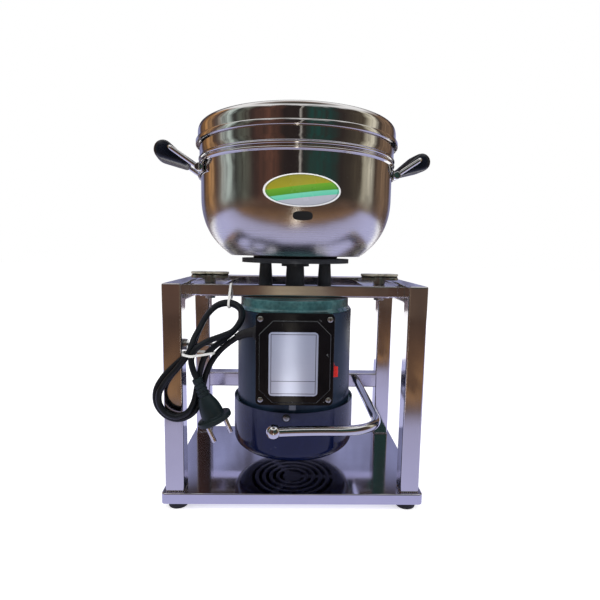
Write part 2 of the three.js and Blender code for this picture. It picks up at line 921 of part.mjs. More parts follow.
function makeTerminalBox() {
  const outline = roundedOutline(boxWidth, boxHeight, boxCorner);
  const depth = boxFront - barrelWall;
  const body = facePlate(outline, depth, -boxFront).translate(0, 0, boxCentreZ);
  const inner = roundedOutline(
    boxWidth - 2 * boxWall,
    boxHeight - 2 * boxWall,
    boxCorner - boxWall,
  );
  const hollow = facePlate(inner, boxFloorDepth + overrun, -boxFront - overrun);
  const saddle = post(saddleRadius, saddleRadius, boxBottom - overrun, boxTop + overrun, 2 * sides);
  const switchHole = block(
    [
      boxSideX - switchDepth - gap,
      switchY - switchBodyLength / 2 - gap,
      switchZ - switchBodyHeight / 2 - gap,
    ],
    [
      boxSideX + overrun,
      switchY + switchBodyLength / 2 + gap,
      switchZ + switchBodyHeight / 2 + gap,
    ],
  );
  return cut(body, hollow.translate(0, 0, boxCentreZ), saddle, switchHole, glandHole());
}
add("terminal_box", makeTerminalBox(), glossBlack());

// Cover: a flat flange with a raised eight-sided middle that is hollow behind
const coverBack = -boxFront - gap;
const coverFront = coverBack - coverPlate - coverRaise;
const coverCentreZ = boxCentreZ;
const octagonCentreZ = coverCentreZ + octagonRise;

function octagonOutline(width, height, corner) {
  const x = width / 2;
  const y = height / 2;
  const shape = new THREE.Shape();
  shape.moveTo(-x, corner - y);
  shape.lineTo(corner - x, -y);
  shape.lineTo(x - corner, -y);
  shape.lineTo(x, corner - y);
  shape.lineTo(x, y - corner);
  shape.lineTo(x - corner, y);
  shape.lineTo(corner - x, y);
  shape.lineTo(-x, y - corner);
  shape.closePath();
  return shape;
}

function makeCover() {
  const flange = facePlate(
    roundedOutline(coverWidth, coverHeight, coverCorner),
    coverPlate,
    coverBack - coverPlate,
  ).translate(0, 0, coverCentreZ);
  const raised = facePlate(
    octagonOutline(octagonWidth, octagonHeight, octagonCut),
    coverRaise + coverPlate / 2,
    coverFront,
  ).translate(0, 0, octagonCentreZ);
  const hollow = facePlate(
    octagonOutline(octagonWidth - 2 * coverWall, octagonHeight - 2 * coverWall, octagonCut),
    coverPlate + coverRaise,
    coverFront + coverWall,
  ).translate(0, 0, octagonCentreZ);
  return cut(joined(flange, raised), hollow);
}
add("terminal_box_cover", makeCover(), glossBlack());

const ratingOutline = roundedOutline(ratingWidth, ratingHeight, ratingCorner);
const ratingPlate = facePlate(ratingOutline, ratingThickness, coverFront - gap - ratingThickness);
add(
  "rating_plate",
  ratingPlate.translate(ratingShift, 0, coverCentreZ - ratingDrop),
  brushedSteel(),
);

// Run capacitor on the floor of the box
const boxFloorY = boxFloorDepth - boxFront;
const capacitor = facePlate(
  roundedOutline(capacitorWidth, capacitorHeight, capacitorCorner),
  capacitorDepth,
  boxFloorY - gap - capacitorDepth,
);
add("run_capacitor", capacitor.translate(0, 0, boxCentreZ + capacitorRise), whitePlastic());

// Rocker switch: its body with the bezel, and the rocker that turns about an upright pin
const pivotX = boxSideX;
function makeSwitchBody() {
  const bezel = block(
    [boxSideX + gap, switchY - bezelLength / 2, switchZ - bezelHeight / 2],
    [boxSideX + bezelProud + gap, switchY + bezelLength / 2, switchZ + bezelHeight / 2],
  );
  const body = block(
    [boxSideX - switchDepth, switchY - switchBodyLength / 2, switchZ - switchBodyHeight / 2],
    [boxSideX + bezelProud, switchY + switchBodyLength / 2, switchZ + switchBodyHeight / 2],
  );
  const pocket = block(
    [pivotX - rockerBury - pocketPlay * 2, switchY - pocketLength / 2, switchZ - pocketHeight / 2],
    [boxSideX + bezelProud + overrun, switchY + pocketLength / 2, switchZ + pocketHeight / 2],
  );
  return cut(joined(bezel, body), pocket);
}
add("switch_body", makeSwitchBody(), glossBlack());

function makeRocker() {
  const half = rockerLength / 2;
  const shape = new THREE.Shape();
  shape.moveTo(-rockerBury / 2, -half);
  shape.lineTo(rockerProud, -half);
  shape.quadraticCurveTo(rockerProud - 2 * rockerDip, 0, rockerProud, half);
  shape.lineTo(-rockerBury / 2, half);
  shape.lineTo(-rockerBury, 0);
  shape.closePath();
  const rocker = extruded(shape, rockerHeight, curveSegments).rotateZ(degrees(rockerTilt));
  return rocker.translate(pivotX, switchY, switchZ - rockerHeight / 2);
}
add("rocker_switch", makeRocker(), redPlastic());

// Cord gland pointing left, with a tapered strain relief that droops under the cord's weight
const glandMouth = new THREE.Vector3(-boxSideX - gap - glandNutLength, glandY, glandZ);
const sleeveLength = glandLength - glandNutLength;
const droopRadius = sleeveLength / degrees(glandDroop);
const sleevePoint = (length) => {
  const turn = length / droopRadius;
  return new THREE.Vector3(
    glandMouth.x - droopRadius * Math.sin(turn),
    glandY,
    glandZ - droopRadius * (1 - Math.cos(turn)),
  );
};
const glandTip = sleevePoint(sleeveLength);
const glandHeading = new THREE.Vector3(
  -Math.cos(degrees(glandDroop)),
  0,
  -Math.sin(degrees(glandDroop)),
);

function makeGland() {
  const profile = [
    [0, -glandNeckLength],
    [glandNeckRadius, -glandNeckLength],
    [glandNeckRadius, gap],
    [glandNutRadius, gap],
    [glandNutRadius, gap + glandNutLength],
  ];
  for (let i = 0; i <= glandSteps; i += 1) {
    const share = i / glandSteps;
    const radius = glandSleeveRadius + (glandTipRadius - glandSleeveRadius) * share;
    profile.push([radius, gap + glandNutLength + sleeveLength * share]);
  }
  profile.push([0, gap + glandLength]);
  const gland = turned(profile, fewSides);
  const position = gland.attributes.position;
  const straight = gap + glandNutLength;
  for (let i = 0; i < position.count; i += 1) {
    const length = Math.max(position.getZ(i) - straight, 0);
    const turn = length / droopRadius;
    const up = position.getX(i);
    const place = sleevePoint(length);
    const back = length > 0 ? 0 : straight - position.getZ(i);
    position.setXYZ(
      i,
      place.x + back - up * Math.sin(turn),
      glandY + position.getY(i),
      place.z + up * Math.cos(turn),
    );
  }
  return gland;
}
add("cord_gland", makeGland(), blackRubber());

// Swing handle: a bent bright rod that turns in the back mid rail, with a ball on its front arm
const railHoleEnd = backRailFace + tube - tubeWall - handleEndPlay;
function handlePath() {
  const path = new THREE.CurvePath();
  const z = midRailZ;
  const back = new THREE.Vector3(handleX, railHoleEnd, z);
  const bendBack = new THREE.Vector3(handleX, handleBendY - handleArmY, z);
  const corner = new THREE.Vector3(handleX, handleBendLead - handleArmY, z);
  const bendFront = new THREE.Vector3(handleBendX, handleBendLead - handleArmY, z);
  const ball = new THREE.Vector3(-handleBallX, -handleArmY, z);
  path.add(new THREE.LineCurve3(back, bendBack));
  path.add(new THREE.QuadraticBezierCurve3(bendBack, corner, bendFront));
  path.add(new THREE.LineCurve3(bendFront, ball));
  return path;
}
const ballNeck = handleBallRadius / 2;
const ballSolid = (radius) =>
  new THREE.SphereGeometry(radius, fewSides, fewSides / 2)
    .rotateX(Math.PI / 2)
    .translate(-handleBallX, -handleArmY, midRailZ);
const handleRod = barAlong(handlePath(), handleRodRadius, rodSteps, rodSides);
const ballClearance = block(
  [-handleBallX - 2 * handleBallRadius, -handleArmY - 2 * handleBallRadius, midRailZ - tube],
  [-handleBallX + ballNeck, -handleArmY + 2 * handleBallRadius, midRailZ + tube],
);
const ballBack = block(
  [-handleBallX + ballNeck - gap, -handleArmY - 2 * handleBallRadius, midRailZ - tube],
  [-handleBallX + 2 * handleBallRadius, -handleArmY + 2 * handleBallRadius, midRailZ + tube],
);
add("swing_handle", cut(handleRod, ballClearance), chrome());
add("handle_ball", cut(ballSolid(handleBallRadius), ballBack), chrome());

// Cord peg: a headed threaded rod on the inner face of the front left leg
const pegX = tube / 2 - legX + gap;
const peg = turned(
  [
    [0, 0],
    [pegHeadRadius, 0],
    [pegHeadRadius, pegHeadLength],
    [pegRadius, pegHeadLength],
    [pegRadius, pegHeadLength + pegLength],
    [0, pegHeadLength + pegLength],
  ],
  fewSides,
).rotateY(Math.PI / 2);
add("cord_peg", peg.translate(pegX, legFrontY, pegZ), zinc());

// Cast spider: a foot bar, two posts and the shaft housing under a round plate
const spiderFootTop = spiderFootBottom + spiderFootHeight;
const spiderPlateBottom = spiderPlateTop - spiderPlateThickness;
const collarTop = spiderPlateTop + spiderCollarRise;
const postBite = spiderPlateThickness / 2;
function makeSpider() {
  const foot = extruded(
    roundedOutline(spiderFootLength, spiderFootWidth, spiderFootWidth / 2 - spiderFootFlat),
    spiderFootHeight,
  ).translate(0, 0, spiderFootBottom);
  const posts = [-1, 1].map((sign) =>
    post(
      postBottomRadius,
      postTopRadius,
      spiderFootTop - postBite,
      spiderPlateBottom + postBite,
    ).translate(sign * postCircle, 0, 0),
  );
  const core = turned([
    [0, spiderFootBottom],
    [housingBottomRadius, spiderFootBottom],
    [housingTopRadius, spiderPlateBottom - housingBossHeight],
    [housingBoss, spiderPlateBottom - housingBossHeight],
    [housingBoss, spiderPlateBottom],
    [spiderPlateRadius, spiderPlateBottom],
    [spiderPlateRadius, spiderPlateTop],
    [spiderCollarRadius, spiderPlateTop],
    [spiderCollarRadius, collarTop],
    [0, collarTop],
  ]);
  const bore = post(housingBore, housingBore, spiderFootBottom - overrun, collarTop + overrun);
  return cut(joined(foot, ...posts, core), bore);
}
add("grinder_spider", makeSpider(), castIron());

add(
  "pot_gasket",
  ring([
    [spiderCollarRadius + gap, spiderPlateTop + gap],
    [gasketRadius, spiderPlateTop + gap],
    [gasketRadius, potBottom - gap],
    [spiderCollarRadius + gap, potBottom - gap],
  ]),
  blackRubber(),
);

add(
  "shaft_seal",
  ring(
    [
      [housingBore, collarTop + gap],
      [sealRadius, collarTop + gap],
      [sealRadius, collarTop + gap + sealHeight],
      [housingBore, collarTop + gap + sealHeight],
    ],
    fewSides,
  ),
  blackRubber(),
);

// Pot: flat floor, swept corner, straight wall, double bead, collar and rolled rim
function curvePoints(a, b, c, d, steps) {
  const curve = new THREE.CubicBezierCurve(
    new THREE.Vector2(...a),
    new THREE.Vector2(...b),
    new THREE.Vector2(...c),
    new THREE.Vector2(...d),
  );
  return curve.getPoints(steps).map((point) => [point.x, point.y]);
}

function potSection() {
  const points = [[spiderCollarRadius + gap, potBottom]];
  points.push(
    ...curvePoints(
      [potBottomRadius, potBottom],
      [potBottomRadius + potCornerOut, potBottom + potCornerRise],
      [potRadius, potCornerTop - potCornerPull],
      [potRadius, potCornerTop],
      potCornerSteps,
    ),
  );
  points.push([potRadius, beadBottom]);
  for (let i = 0; i < 2; i += 1) {
    const low = beadBottom + i * beadPitch;
    points.push([potRadius + beadProud, low + beadPitch * beadShoulderShare]);
    points.push([potRadius + beadProud, low + beadPitch * (1 - beadShoulderShare)]);
    if (i === 0) points.push([potRadius + beadProud * beadValleyShare, low + beadPitch]);
  }
  points.push([collarRadius, beadBottom + 2 * beadPitch]);
  points.push([collarRadius, rimRollBottom]);
  return points;
}

function makePot() {
  const wall = sheetSection(potSection(), potWall);
  const rimTop = rimRollBottom + rimRollHeight;
  const roll = ring([
    [collarRadius - potWall, rimRollBottom - rimRollBite],
    [rimRollRadius - potWall / 2, rimRollBottom - rimRollBite],
    [rimRollRadius, rimRollBottom + potWall / 2],
    [rimRollRadius, rimTop - potWall / 2],
    [rimRollRadius - potWall / 2, rimTop],
    [collarRadius - potWall, rimTop],
  ]);
  return joined(ring(wall), roll);
}
add("pot", makePot(), brushedSteel());

// Lid: lip, side, shoulder and low dome, with the knob's stud through its middle
function makeLid() {
  const points = [
    [lidLipRadius, lidLipBottom],
    [lidLipRadius, lidLipTop],
    [lidSideRadius, lidLipTop],
    ...curvePoints(
      [lidSideRadius, lidSideTop],
      [lidSideRadius, lidSideTop + lidShoulderPull],
      [lidShoulderRadius + lidShoulderOut, lidShoulderZ - lidShoulderPull / 2],
      [lidShoulderRadius, lidShoulderZ],
      lidSteps,
    ),
  ];
  const domeSteps = lidSteps / 2;
  for (let i = 1; i <= domeSteps; i += 1) {
    const share = i / domeSteps;
    const radius = lidShoulderRadius + (knobStudRadius + gap - lidShoulderRadius) * share;
    const fall = (radius / lidShoulderRadius) ** 2;
    points.push([radius, lidTop - (lidTop - lidShoulderZ) * fall]);
  }
  return ring(sheetSection(points, lidSheet));
}
add("lid", makeLid(), polishedSteel());

const knobBottom = lidTop + gap;
add(
  "lid_knob",
  turned(
    [
      [0, knobBottom - knobStudLength],
      [knobStudRadius, knobBottom - knobStudLength],
      [knobStudRadius, knobBottom],
      [knobNeckRadius, knobBottom],
      [knobWaistRadius, knobBottom + knobWaistRise],
      [knobRadius, knobBottom + knobUnderside],
      [knobRadius, knobBottom + knobEdgeTop],
      [knobCrownRadius, knobBottom + knobHeight],
      [0, knobBottom + knobHeight],
    ],
    fewSides,
  ),
  bakelite(),
);

// Pot handles: a strap with two lugs, a wire bail and a grip on its crossbar
const strapTop = beadBottom - strapDrop;
const strapZ = strapTop - strapHeight / 2;
const strapRadius = (potRadius + gap) / Math.cos(Math.PI / sides);
const strapOuter = strapRadius + strapThickness;
const crossbarX = potRadius + crossbarReach;
const crossbarZ = beadBottom + crossbarRise;
const lugX = Math.sqrt(strapOuter ** 2 - (wireSpread / 2) ** 2) + lugRadius / 2;
function bailPath() {
  const side = wireSpread / 2;
  const lug = (sign) => new THREE.Vector3(lugX, sign * side, strapZ);
  const outer = (sign) => new THREE.Vector3(crossbarX, sign * side, crossbarZ);
  const path = new THREE.CurvePath();
  const cornerAt = (from, at, to) => {
    const a = at.clone().add(from.clone().sub(at).setLength(wireCorner));
    const b = at.clone().add(to.clone().sub(at).setLength(wireCorner));
    return [a, new THREE.QuadraticBezierCurve3(a, at, b), b];
  };
  const [a1, bend1, b1] = cornerAt(lug(-1), outer(-1), outer(1));
  const [a2, bend2, b2] = cornerAt(outer(-1), outer(1), lug(1));
  path.add(new THREE.LineCurve3(lug(-1), a1));
  path.add(bend1);
  path.add(new THREE.LineCurve3(b1, a2));
  path.add(bend2);
  path.add(new THREE.LineCurve3(b2, lug(1)));
  return path;
}

function makeBail() {
  const hoop = ring([
    [strapRadius, strapTop - strapHeight],
    [strapOuter, strapTop - strapHeight],
    [strapOuter, strapTop],
    [strapRadius, strapTop],
  ]);
  const reach = block(
    [0, -strapWidth / 2, strapTop - strapHeight - overrun],
    [strapOuter + overrun, strapWidth / 2, strapTop + overrun],
  );
  const lugs = [-1, 1].map((sign) =>
    new THREE.CylinderGeometry(lugRadius, lugRadius, lugLength, fewSides / 2)
      .translate(lugX, (sign * wireSpread) / 2, strapZ),
  );
  const wire = barAlong(bailPath(), wireRadius, wireSteps, wireSides);
  const whole = joined(common(hoop, reach), ...lugs, wire);
  const potSpace = post(strapRadius, strapRadius, strapZ - lugLength, beadBottom, sides);
  return cut(whole, potSpace);
}

function makeGrip() {
  const shape = new THREE.Shape();
  const axis = Math.atan2(gripThinDrop, gripFatOut + gripThinIn);
  const spanLength = Math.hypot(gripThinDrop, gripFatOut + gripThinIn);
  const lean = Math.acos((gripFatRadius - gripThinRadius) / spanLength);
  shape.absarc(gripFatOut, 0, gripFatRadius, axis + Math.PI + lean - Math.PI * 2,
    axis + Math.PI - lean, false);
  shape.absarc(-gripThinIn, -gripThinDrop, gripThinRadius, axis + Math.PI - lean,
    axis + Math.PI + lean, false);
  shape.closePath();
  const body = extruded(shape, gripLength, curveSegments).rotateX(Math.PI / 2);
  body.translate(crossbarX, gripLength / 2, crossbarZ);
  const boreRadius = wireRadius + 2 * gap;
  const boreLength = gripLength + 2 * overrun;
  const bore = new THREE.CylinderGeometry(boreRadius, boreRadius, boreLength, fewSides / 2);
  bore.translate(crossbarX, 0, crossbarZ);
  return cut(body, bore);
}

const handles = new THREE.Group();
handles.rotation.z = degrees(potTurn);
grinder.add(handles);
for (const [side, turn] of [
  ["left", Math.PI],
  ["right", 0],
]) {
  add(`handle_bail_${side}`, makeBail().rotateZ(turn), chrome(), handles);
  add(`handle_grip_${side}`, makeGrip().rotateZ(turn), bakelite(), handles);
}

// Blades on the spindle: hub, two-armed lower and upper blades, and the nut
const spindleBore = () =>
  post(
    bladeSpindleRadius + gap,
    bladeSpindleRadius + gap,
    hubBottom - overrun,
    spindleTop + overrun,
  );
add("blade_hub", cut(post(hubRadius, hubRadius, hubBottom, hubBottom + hubHeight), spindleBore()),
  zinc());

function bladeArms(reach, bottom) {
  const shape = new THREE.Shape();
  const root = bladeRootWidth / 2;
  const middle = reach / 2;
  shape.moveTo(0, -root);
  shape.quadraticCurveTo(middle, -root, reach, -bladeSweep);
  shape.lineTo(reach - bladeTipWidth / 2, bladeTipWidth - bladeSweep);
  shape.quadraticCurveTo(middle, root, 0, root);
  shape.closePath();
  const arm = extruded(shape, bladeThickness, curveSegments).translate(0, 0, bottom);
  return [arm, arm.clone().rotateZ(Math.PI)];
}

function makeLowerBlade() {
  const eye = post(
    bladeEyeRadius,
    bladeEyeRadius,
    lowerBladeBottom,
    lowerBladeBottom + bladeThickness,
  );
  return cut(joined(eye, ...bladeArms(lowerBladeReach, lowerBladeBottom)), spindleBore());
}

function makeUpperBlade() {
  const armBottom = upperBladeBottom + bladeSpacing - bladeThickness;
  const boss = post(
    bladeEyeRadius,
    bladeEyeRadius,
    upperBladeBottom,
    upperBladeBottom + bladeSpacing,
  );
  return cut(joined(boss, ...bladeArms(upperBladeReach, armBottom)), spindleBore());
}
add("lower_blade", makeLowerBlade(), brushedSteel());
add("upper_blade", makeUpperBlade().rotateZ(degrees(upperBladeTurn)), brushedSteel());
add(
  "blade_nut",
  cut(
    post(nutAcross, nutAcross, bladeNutBottom, bladeNutBottom + bladeNutHeight - gap, nutSides),
    spindleBore(),
  ),
  zinc(),
);

// Mains cord: lead, hank and plug
const cordRadius = cordDiameter / 2;
const along = (origin, span, shares) =>
  new THREE.Vector3(...shares).multiplyScalar(span).add(origin);

const waist = new THREE.Vector3(waistX, waistY, waistZ);
const hankOutline = new THREE.CatmullRomCurve3(
  hankShares.map((shares) => along(waist, hankSpan, shares)),
  true,
  "centripetal",
);
const smooth = (value) => {
  const share = Math.min(Math.max(value, 0), 1);
  return share * share * (3 - 2 * share);
};

// How far a turn lies inside the last one: not at all at the waist, and most in the two loops
function nesting(turn) {
  const index = turn * hankShares.length;
  if (index < waistIndex) {
    return lowerNest * smooth(2 * Math.sin((Math.PI * index) / waistIndex));
  }
  const share = (index - waistIndex) / (hankShares.length - waistIndex);
  return upperNest * smooth(2 * Math.sin(Math.PI * share));
}

function hankPoint(travel) {
  const turn = travel % 1;
  const place = hankOutline.getPoint(turn);
  const heading = hankOutline.getTangent(turn);
  const front = new THREE.Vector3(0, -1, 0);
  front.addScaledVector(heading, -front.dot(heading)).normalize();
  const inward = new THREE.Vector3().crossVectors(heading, front);
  const climb = smooth((turn - climbStart) / (climbEnd - climbStart));
  const layer = Math.floor(travel) + climb;
  const nest = nesting(turn);
  const depth = Math.sqrt(hankPitch ** 2 - nest ** 2);
  return place.addScaledVector(inward, layer * nest).addScaledVector(front, layer * depth);
}

const plugTop = new THREE.Vector3(plugX, plugY, plugZ);
const plugAxis = new THREE.Vector3(
  Math.sin(degrees(plugLean)),
  0,
  -Math.cos(degrees(plugLean)),
);
const tailEnd = plugTop.clone().addScaledVector(plugAxis, -gap);

// The last straight diameter of a stretch that ends square on a face
const straightEnd = (end, heading) =>
  [1, 0.5, 0].map((share) => end.clone().addScaledVector(heading, -share * cordDiameter));

// A smooth bend from one place and heading to another
function bend(from, heading, to, endHeading, pull, endPull) {
  return new THREE.CubicBezierCurve3(
    from,
    from.clone().addScaledVector(heading, pull),
    to.clone().addScaledVector(endHeading, -endPull),
    to,
  );
}

function hankCurve() {
  const points = [];
  const first = Math.ceil(hankStart * turnSamples);
  const last = Math.floor(hankEnd * turnSamples);
  for (let i = first; i <= last; i += 1) points.push(hankPoint(i / turnSamples));
  const leaving = points[points.length - 1].clone();
  const heading = leaving.clone().sub(points[points.length - 2]).normalize();
  const end = straightEnd(tailEnd, plugAxis);
  const tail = bend(leaving, heading, end[0], plugAxis, tailPullStart, tailPullEnd);
  points.push(...tail.getPoints(tailPoints).slice(1, -1), ...end);
  return new THREE.CatmullRomCurve3(points, false, "centripetal");
}
const hankPath = hankCurve();

// Least free distance of the hank to itself, away from each point's own neighbourhood
function leastGap(curve) {
  const points = curve.getSpacedPoints(measureSamples);
  const step = curve.getLength() / measureSamples;
  const skip = Math.ceil((3 * cordDiameter) / step);
  let least = Infinity;
  for (let i = 0; i < points.length; i += 1) {
    for (let k = i + skip; k < points.length; k += 1) {
      least = Math.min(least, points[i].distanceTo(points[k]) - cordDiameter);
    }
  }
  return least;
}

// Tightest bend, in cord diameters, from the circle through points a diameter apart
function tightest(curve) {
  const points = curve.getSpacedPoints(measureSamples);
  const reach = Math.round((cordDiameter * measureSamples) / curve.getLength());
  let least = Infinity;
  for (let i = reach; i + reach < points.length; i += 1) {
    const [before, here, after] = [points[i - reach], points[i], points[i + reach]];
    const a = before.distanceTo(here);
    const b = after.distanceTo(here);
    const c = after.distanceTo(before);
    const twiceArea = here.clone().sub(before).cross(after.clone().sub(before)).length();
    if (twiceArea > 0) least = Math.min(least, (a * b * c) / (2 * twiceArea));
  }
  return least / cordDiameter;
}
const hankEnds = [hankPath.getPoint(0), hankPath.getTangent(0)];
console.log(
  `cord_hank is ${hankPath.getLength().toFixed(1)} mm long,`,
  `keeps ${leastGap(hankPath).toFixed(2)} mm from itself,`,
  `and bends to ${tightest(hankPath).toFixed(2)} diameters`,
);

function leadCurve() {
  const start = glandTip.clone().addScaledVector(glandHeading, gap);
  const [hankFace, hankHeading] = hankEnds;
  const end = hankFace.clone().addScaledVector(hankHeading, -gap);
  const from = start.clone().addScaledVector(glandHeading, cordDiameter);
  const to = end.clone().addScaledVector(hankHeading, -cordDiameter);
  const path = new THREE.CurvePath();
  path.add(new THREE.LineCurve3(start, from));
  path.add(bend(from, glandHeading, to, hankHeading, leadPullStart, leadPullEnd));
  path.add(new THREE.LineCurve3(to, end));
  return path;
}
const leadPath = leadCurve();
console.log(
  `mains_lead is ${leadPath.getLength().toFixed(1)} mm long`,
  `and bends to ${tightest(leadPath).toFixed(2)} diameters`,
);
add("mains_lead", barAlong(leadPath, cordRadius, leadSteps, cordSides), blackRubber());
add("cord_hank", barAlong(hankPath, cordRadius, hankSteps, hankSides), blackRubber());

// Plug with its ribbed sleeve, round flange and two pins
function makePlug() {
  const bodyTop = -plugSleeveLength;
  const flangeTop = bodyTop - plugBodyLength;
  const face = flangeTop - plugFlangeThickness;
  const body = turned(
    [
      [0, face],
      [plugFlangeRadius, face],
      [plugFlangeRadius, flangeTop],
      [plugBodyRadius, flangeTop],
      [plugBodyTopRadius, bodyTop],
      [plugSleeveRadius, 0],
      [0, 0],
    ],
    fewSides,
  );
  const pins = [-1, 1].map((sign) =>
    post(pinRadius, pinRadius, face - pinLength, face + plugFlangeThickness / 2).translate(
      (sign * pinSpacing) / 2,
      0,
      0,
    ),
  );
  const plug = joined(body, ...pins).rotateZ(degrees(plugSpin)).rotateY(-degrees(plugLean));
  return plug.translate(plugX, plugY, plugZ);
}
add("mains_plug", makePlug(), blackRubber());

// Ties: closed bands round all that crosses a plane
function crossings(curve, axis, level) {
  const points = curve.getSpacedPoints(measureSamples);
  const found = [];
  for (let i = 1; i < points.length; i += 1) {
    const before = points[i - 1][axis] - level;
    const after = points[i][axis] - level;
    if (before * after > 0) continue;
    found.push(points[i - 1].clone().lerp(points[i], before / (before - after)));
  }
  return found;
}

// Convex outline round a set of points, counterclockwise
function hull(points) {
  const sorted = [...points].sort((a, b) => a.x - b.x || a.y - b.y);
  const chain = (list) => {
    const kept = [];
    for (const point of list) {
      while (kept.length > 1) {
        const [a, b] = kept.slice(-2);
        if ((b.x - a.x) * (point.y - a.y) - (b.y - a.y) * (point.x - a.x) > 0) break;
        kept.pop();
      }
      kept.push(point);
    }
    return kept.slice(0, -1);
  };
  return [...chain(sorted), ...chain(sorted.reverse())];
}

function circlePoints(centre, radius, count) {
  const points = [];
  for (let i = 0; i < count; i += 1) {
    const angle = (i / count) * Math.PI * 2;
    points.push(
      new THREE.Vector2(centre.x + radius * Math.cos(angle), centre.y + radius * Math.sin(angle)),
    );
  }
  return points;
}

// A band round discs that are given as centre and radius
function makeTie(discs) {
  const outline = (grow) =>
    hull(discs.flatMap(([centre, radius]) => circlePoints(centre, radius + grow, tieSides)));
  const shape = new THREE.Shape(outline(tieThickness));
  shape.holes.push(new THREE.Path(outline(0)));
  return extruded(shape, tieWidth);
}

const tieHole = cordRadius + tieSlack;
const bandLevels = (level) => [level - tieWidth, level, level + tieWidth];
const waistDiscs = bandLevels(waistZ)
  .flatMap((level) => crossings(hankPath, "z", level))
  .map((point) => [new THREE.Vector2(point.x, point.y), tieHole]);
const waistTie = makeTie(waistDiscs).translate(0, 0, waistZ - tieWidth / 2);
add("hank_tie_waist", waistTie, whitePlastic());

const railDiscs = bandLevels(railTieX)
  .flatMap((level) => crossings(hankPath, "x", level))
  .filter((point) => point.z > frontRailBottom - 2 * cordDiameter)
  .map((point) => [new THREE.Vector2(point.y, point.z), tieHole]);
for (const y of [frontRailFace + tubeCorner, frontRailBack - tubeCorner]) {
  for (const z of [frontRailBottom + tubeCorner, frontRailTop - tubeCorner]) {
    railDiscs.push([new THREE.Vector2(y, z), tubeCorner + gap]);
  }
}
const acrossRail = new THREE.Matrix4().makeBasis(
  new THREE.Vector3(0, 1, 0),
  new THREE.Vector3(0, 0, 1),
  new THREE.Vector3(1, 0, 0),
);
const railTie = makeTie(railDiscs).applyMatrix4(acrossRail);
add("hank_tie_rail", railTie.translate(railTieX - tieWidth / 2, 0, 0), whitePlastic());

export default grinder;
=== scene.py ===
import math

import bmesh
import bpy
from mathutils import Matrix, Vector


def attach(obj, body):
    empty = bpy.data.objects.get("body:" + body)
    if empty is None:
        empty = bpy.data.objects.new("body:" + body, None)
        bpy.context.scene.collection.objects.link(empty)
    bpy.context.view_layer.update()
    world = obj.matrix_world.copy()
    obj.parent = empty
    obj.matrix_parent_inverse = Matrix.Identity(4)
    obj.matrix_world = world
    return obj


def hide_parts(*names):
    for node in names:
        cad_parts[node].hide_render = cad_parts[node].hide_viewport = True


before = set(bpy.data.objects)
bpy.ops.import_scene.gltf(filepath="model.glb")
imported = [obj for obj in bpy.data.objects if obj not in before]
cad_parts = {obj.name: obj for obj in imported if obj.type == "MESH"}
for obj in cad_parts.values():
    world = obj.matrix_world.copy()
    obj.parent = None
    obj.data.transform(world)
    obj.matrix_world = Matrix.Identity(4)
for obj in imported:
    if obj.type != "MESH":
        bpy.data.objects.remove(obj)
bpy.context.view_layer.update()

MM = 0.001
MERGE = 1e-6
TURN_STEPS = 128
SMALL_STEPS = 48
SIDES = (("left", -1), ("right", 1))


def put(name, data):
    """A new object in the scene, at the origin."""
    thing = bpy.data.objects.new(name, data)
    bpy.context.scene.collection.objects.link(thing)
    return thing


def give(thing, **settings):
    """Gives a thing its settings and returns it."""
    for key, value in settings.items():
        setattr(thing, key, value)
    return thing


# ---------------------------------------------------------------- camera

EYE = Vector((-0.0051, -0.5336, 0.2792))
YAW, PITCH, ROLL = (math.radians(angle) for angle in (1.24, 6.89, -0.90))


def stand_camera():
    """The camera at the photo's place, height and tilt."""
    ahead = Vector((math.sin(YAW) * math.cos(PITCH), math.cos(YAW) * math.cos(PITCH), -math.sin(PITCH)))
    level = Vector((math.cos(YAW), -math.sin(YAW), 0))
    down = ahead.cross(level)
    right = math.cos(ROLL) * level + math.sin(ROLL) * down
    below = math.cos(ROLL) * down - math.sin(ROLL) * level
    data = bpy.data.cameras.new("photo_camera")
    camera = put("photo_camera", give(data, lens=26.5, sensor_width=36, shift_y=0.0079, clip_start=0.01))
    camera.matrix_world = Matrix.Translation(EYE) @ Matrix((right, -below, -ahead)).transposed().to_4x4()
    bpy.context.scene.camera = camera


stand_camera()
bpy.context.scene.view_settings.view_transform = "Standard"

# ---------------------------------------------------------------- nodes and the wires between them


class Wire:
    """A node's output. Sums on it lay Math nodes in its tree."""

    def __init__(self, socket):
        self.socket = socket
        self.tree = socket.id_data

    def calc(self, operation, *values):
        return lay(self.tree, "Math", *values, operation=operation)[0]

    def __add__(self, other):
        return self.calc("ADD", self, other)

    def __sub__(self, other):
        return self.calc("SUBTRACT", self, other)

    def __rsub__(self, other):
        return self.calc("SUBTRACT", other, self)

    def __mul__(self, other):
        return self.calc("MULTIPLY", self, other)

    def __truediv__(self, other):
        return self.calc("DIVIDE", self, other)

    def __gt__(self, other):
        return self.calc("GREATER_THAN", self, other)

    def __lt__(self, other):
        return self.calc("LESS_THAN", self, other)

    def __abs__(self):
        return self.calc("ABSOLUTE", self)

    def or_more(self, other):
        return self.calc("MAXIMUM", self, other)

    def clamped(self):
        self.socket.node.use_clamp = True
        return self


def feed(socket, value):
    """Gives a socket a wire, or a value of its own."""
    if isinstance(value, Wire):
        value.tree.links.new(value.socket, socket)
    elif socket.type == "RGBA" and len(value) == 3:
        socket.default_value = (*value, 1)
    else:
        socket.default_value = value


def wires(node):
    """A node's outputs as wires, by name and by number."""
    return {key: Wire(output) for number, output in enumerate(node.outputs) for key in (output.name, number)}


def lay(tree, kind, *values, **settings):
    """Lays a node: its own settings and named sockets, then its first sockets in order; returns its wires."""
    node = tree.nodes.new("ShaderNode" + kind)
    for key, value in settings.items():
        if hasattr(node, key):
            setattr(node, key, value)
        else:
            feed(node.inputs[key.replace("_", " ")], value)
    for socket, value in zip(node.inputs, values):
        feed(socket, value)
    return wires(node)


def coordinates(tree):
    return lay(tree, "TexCoord")["Object"]


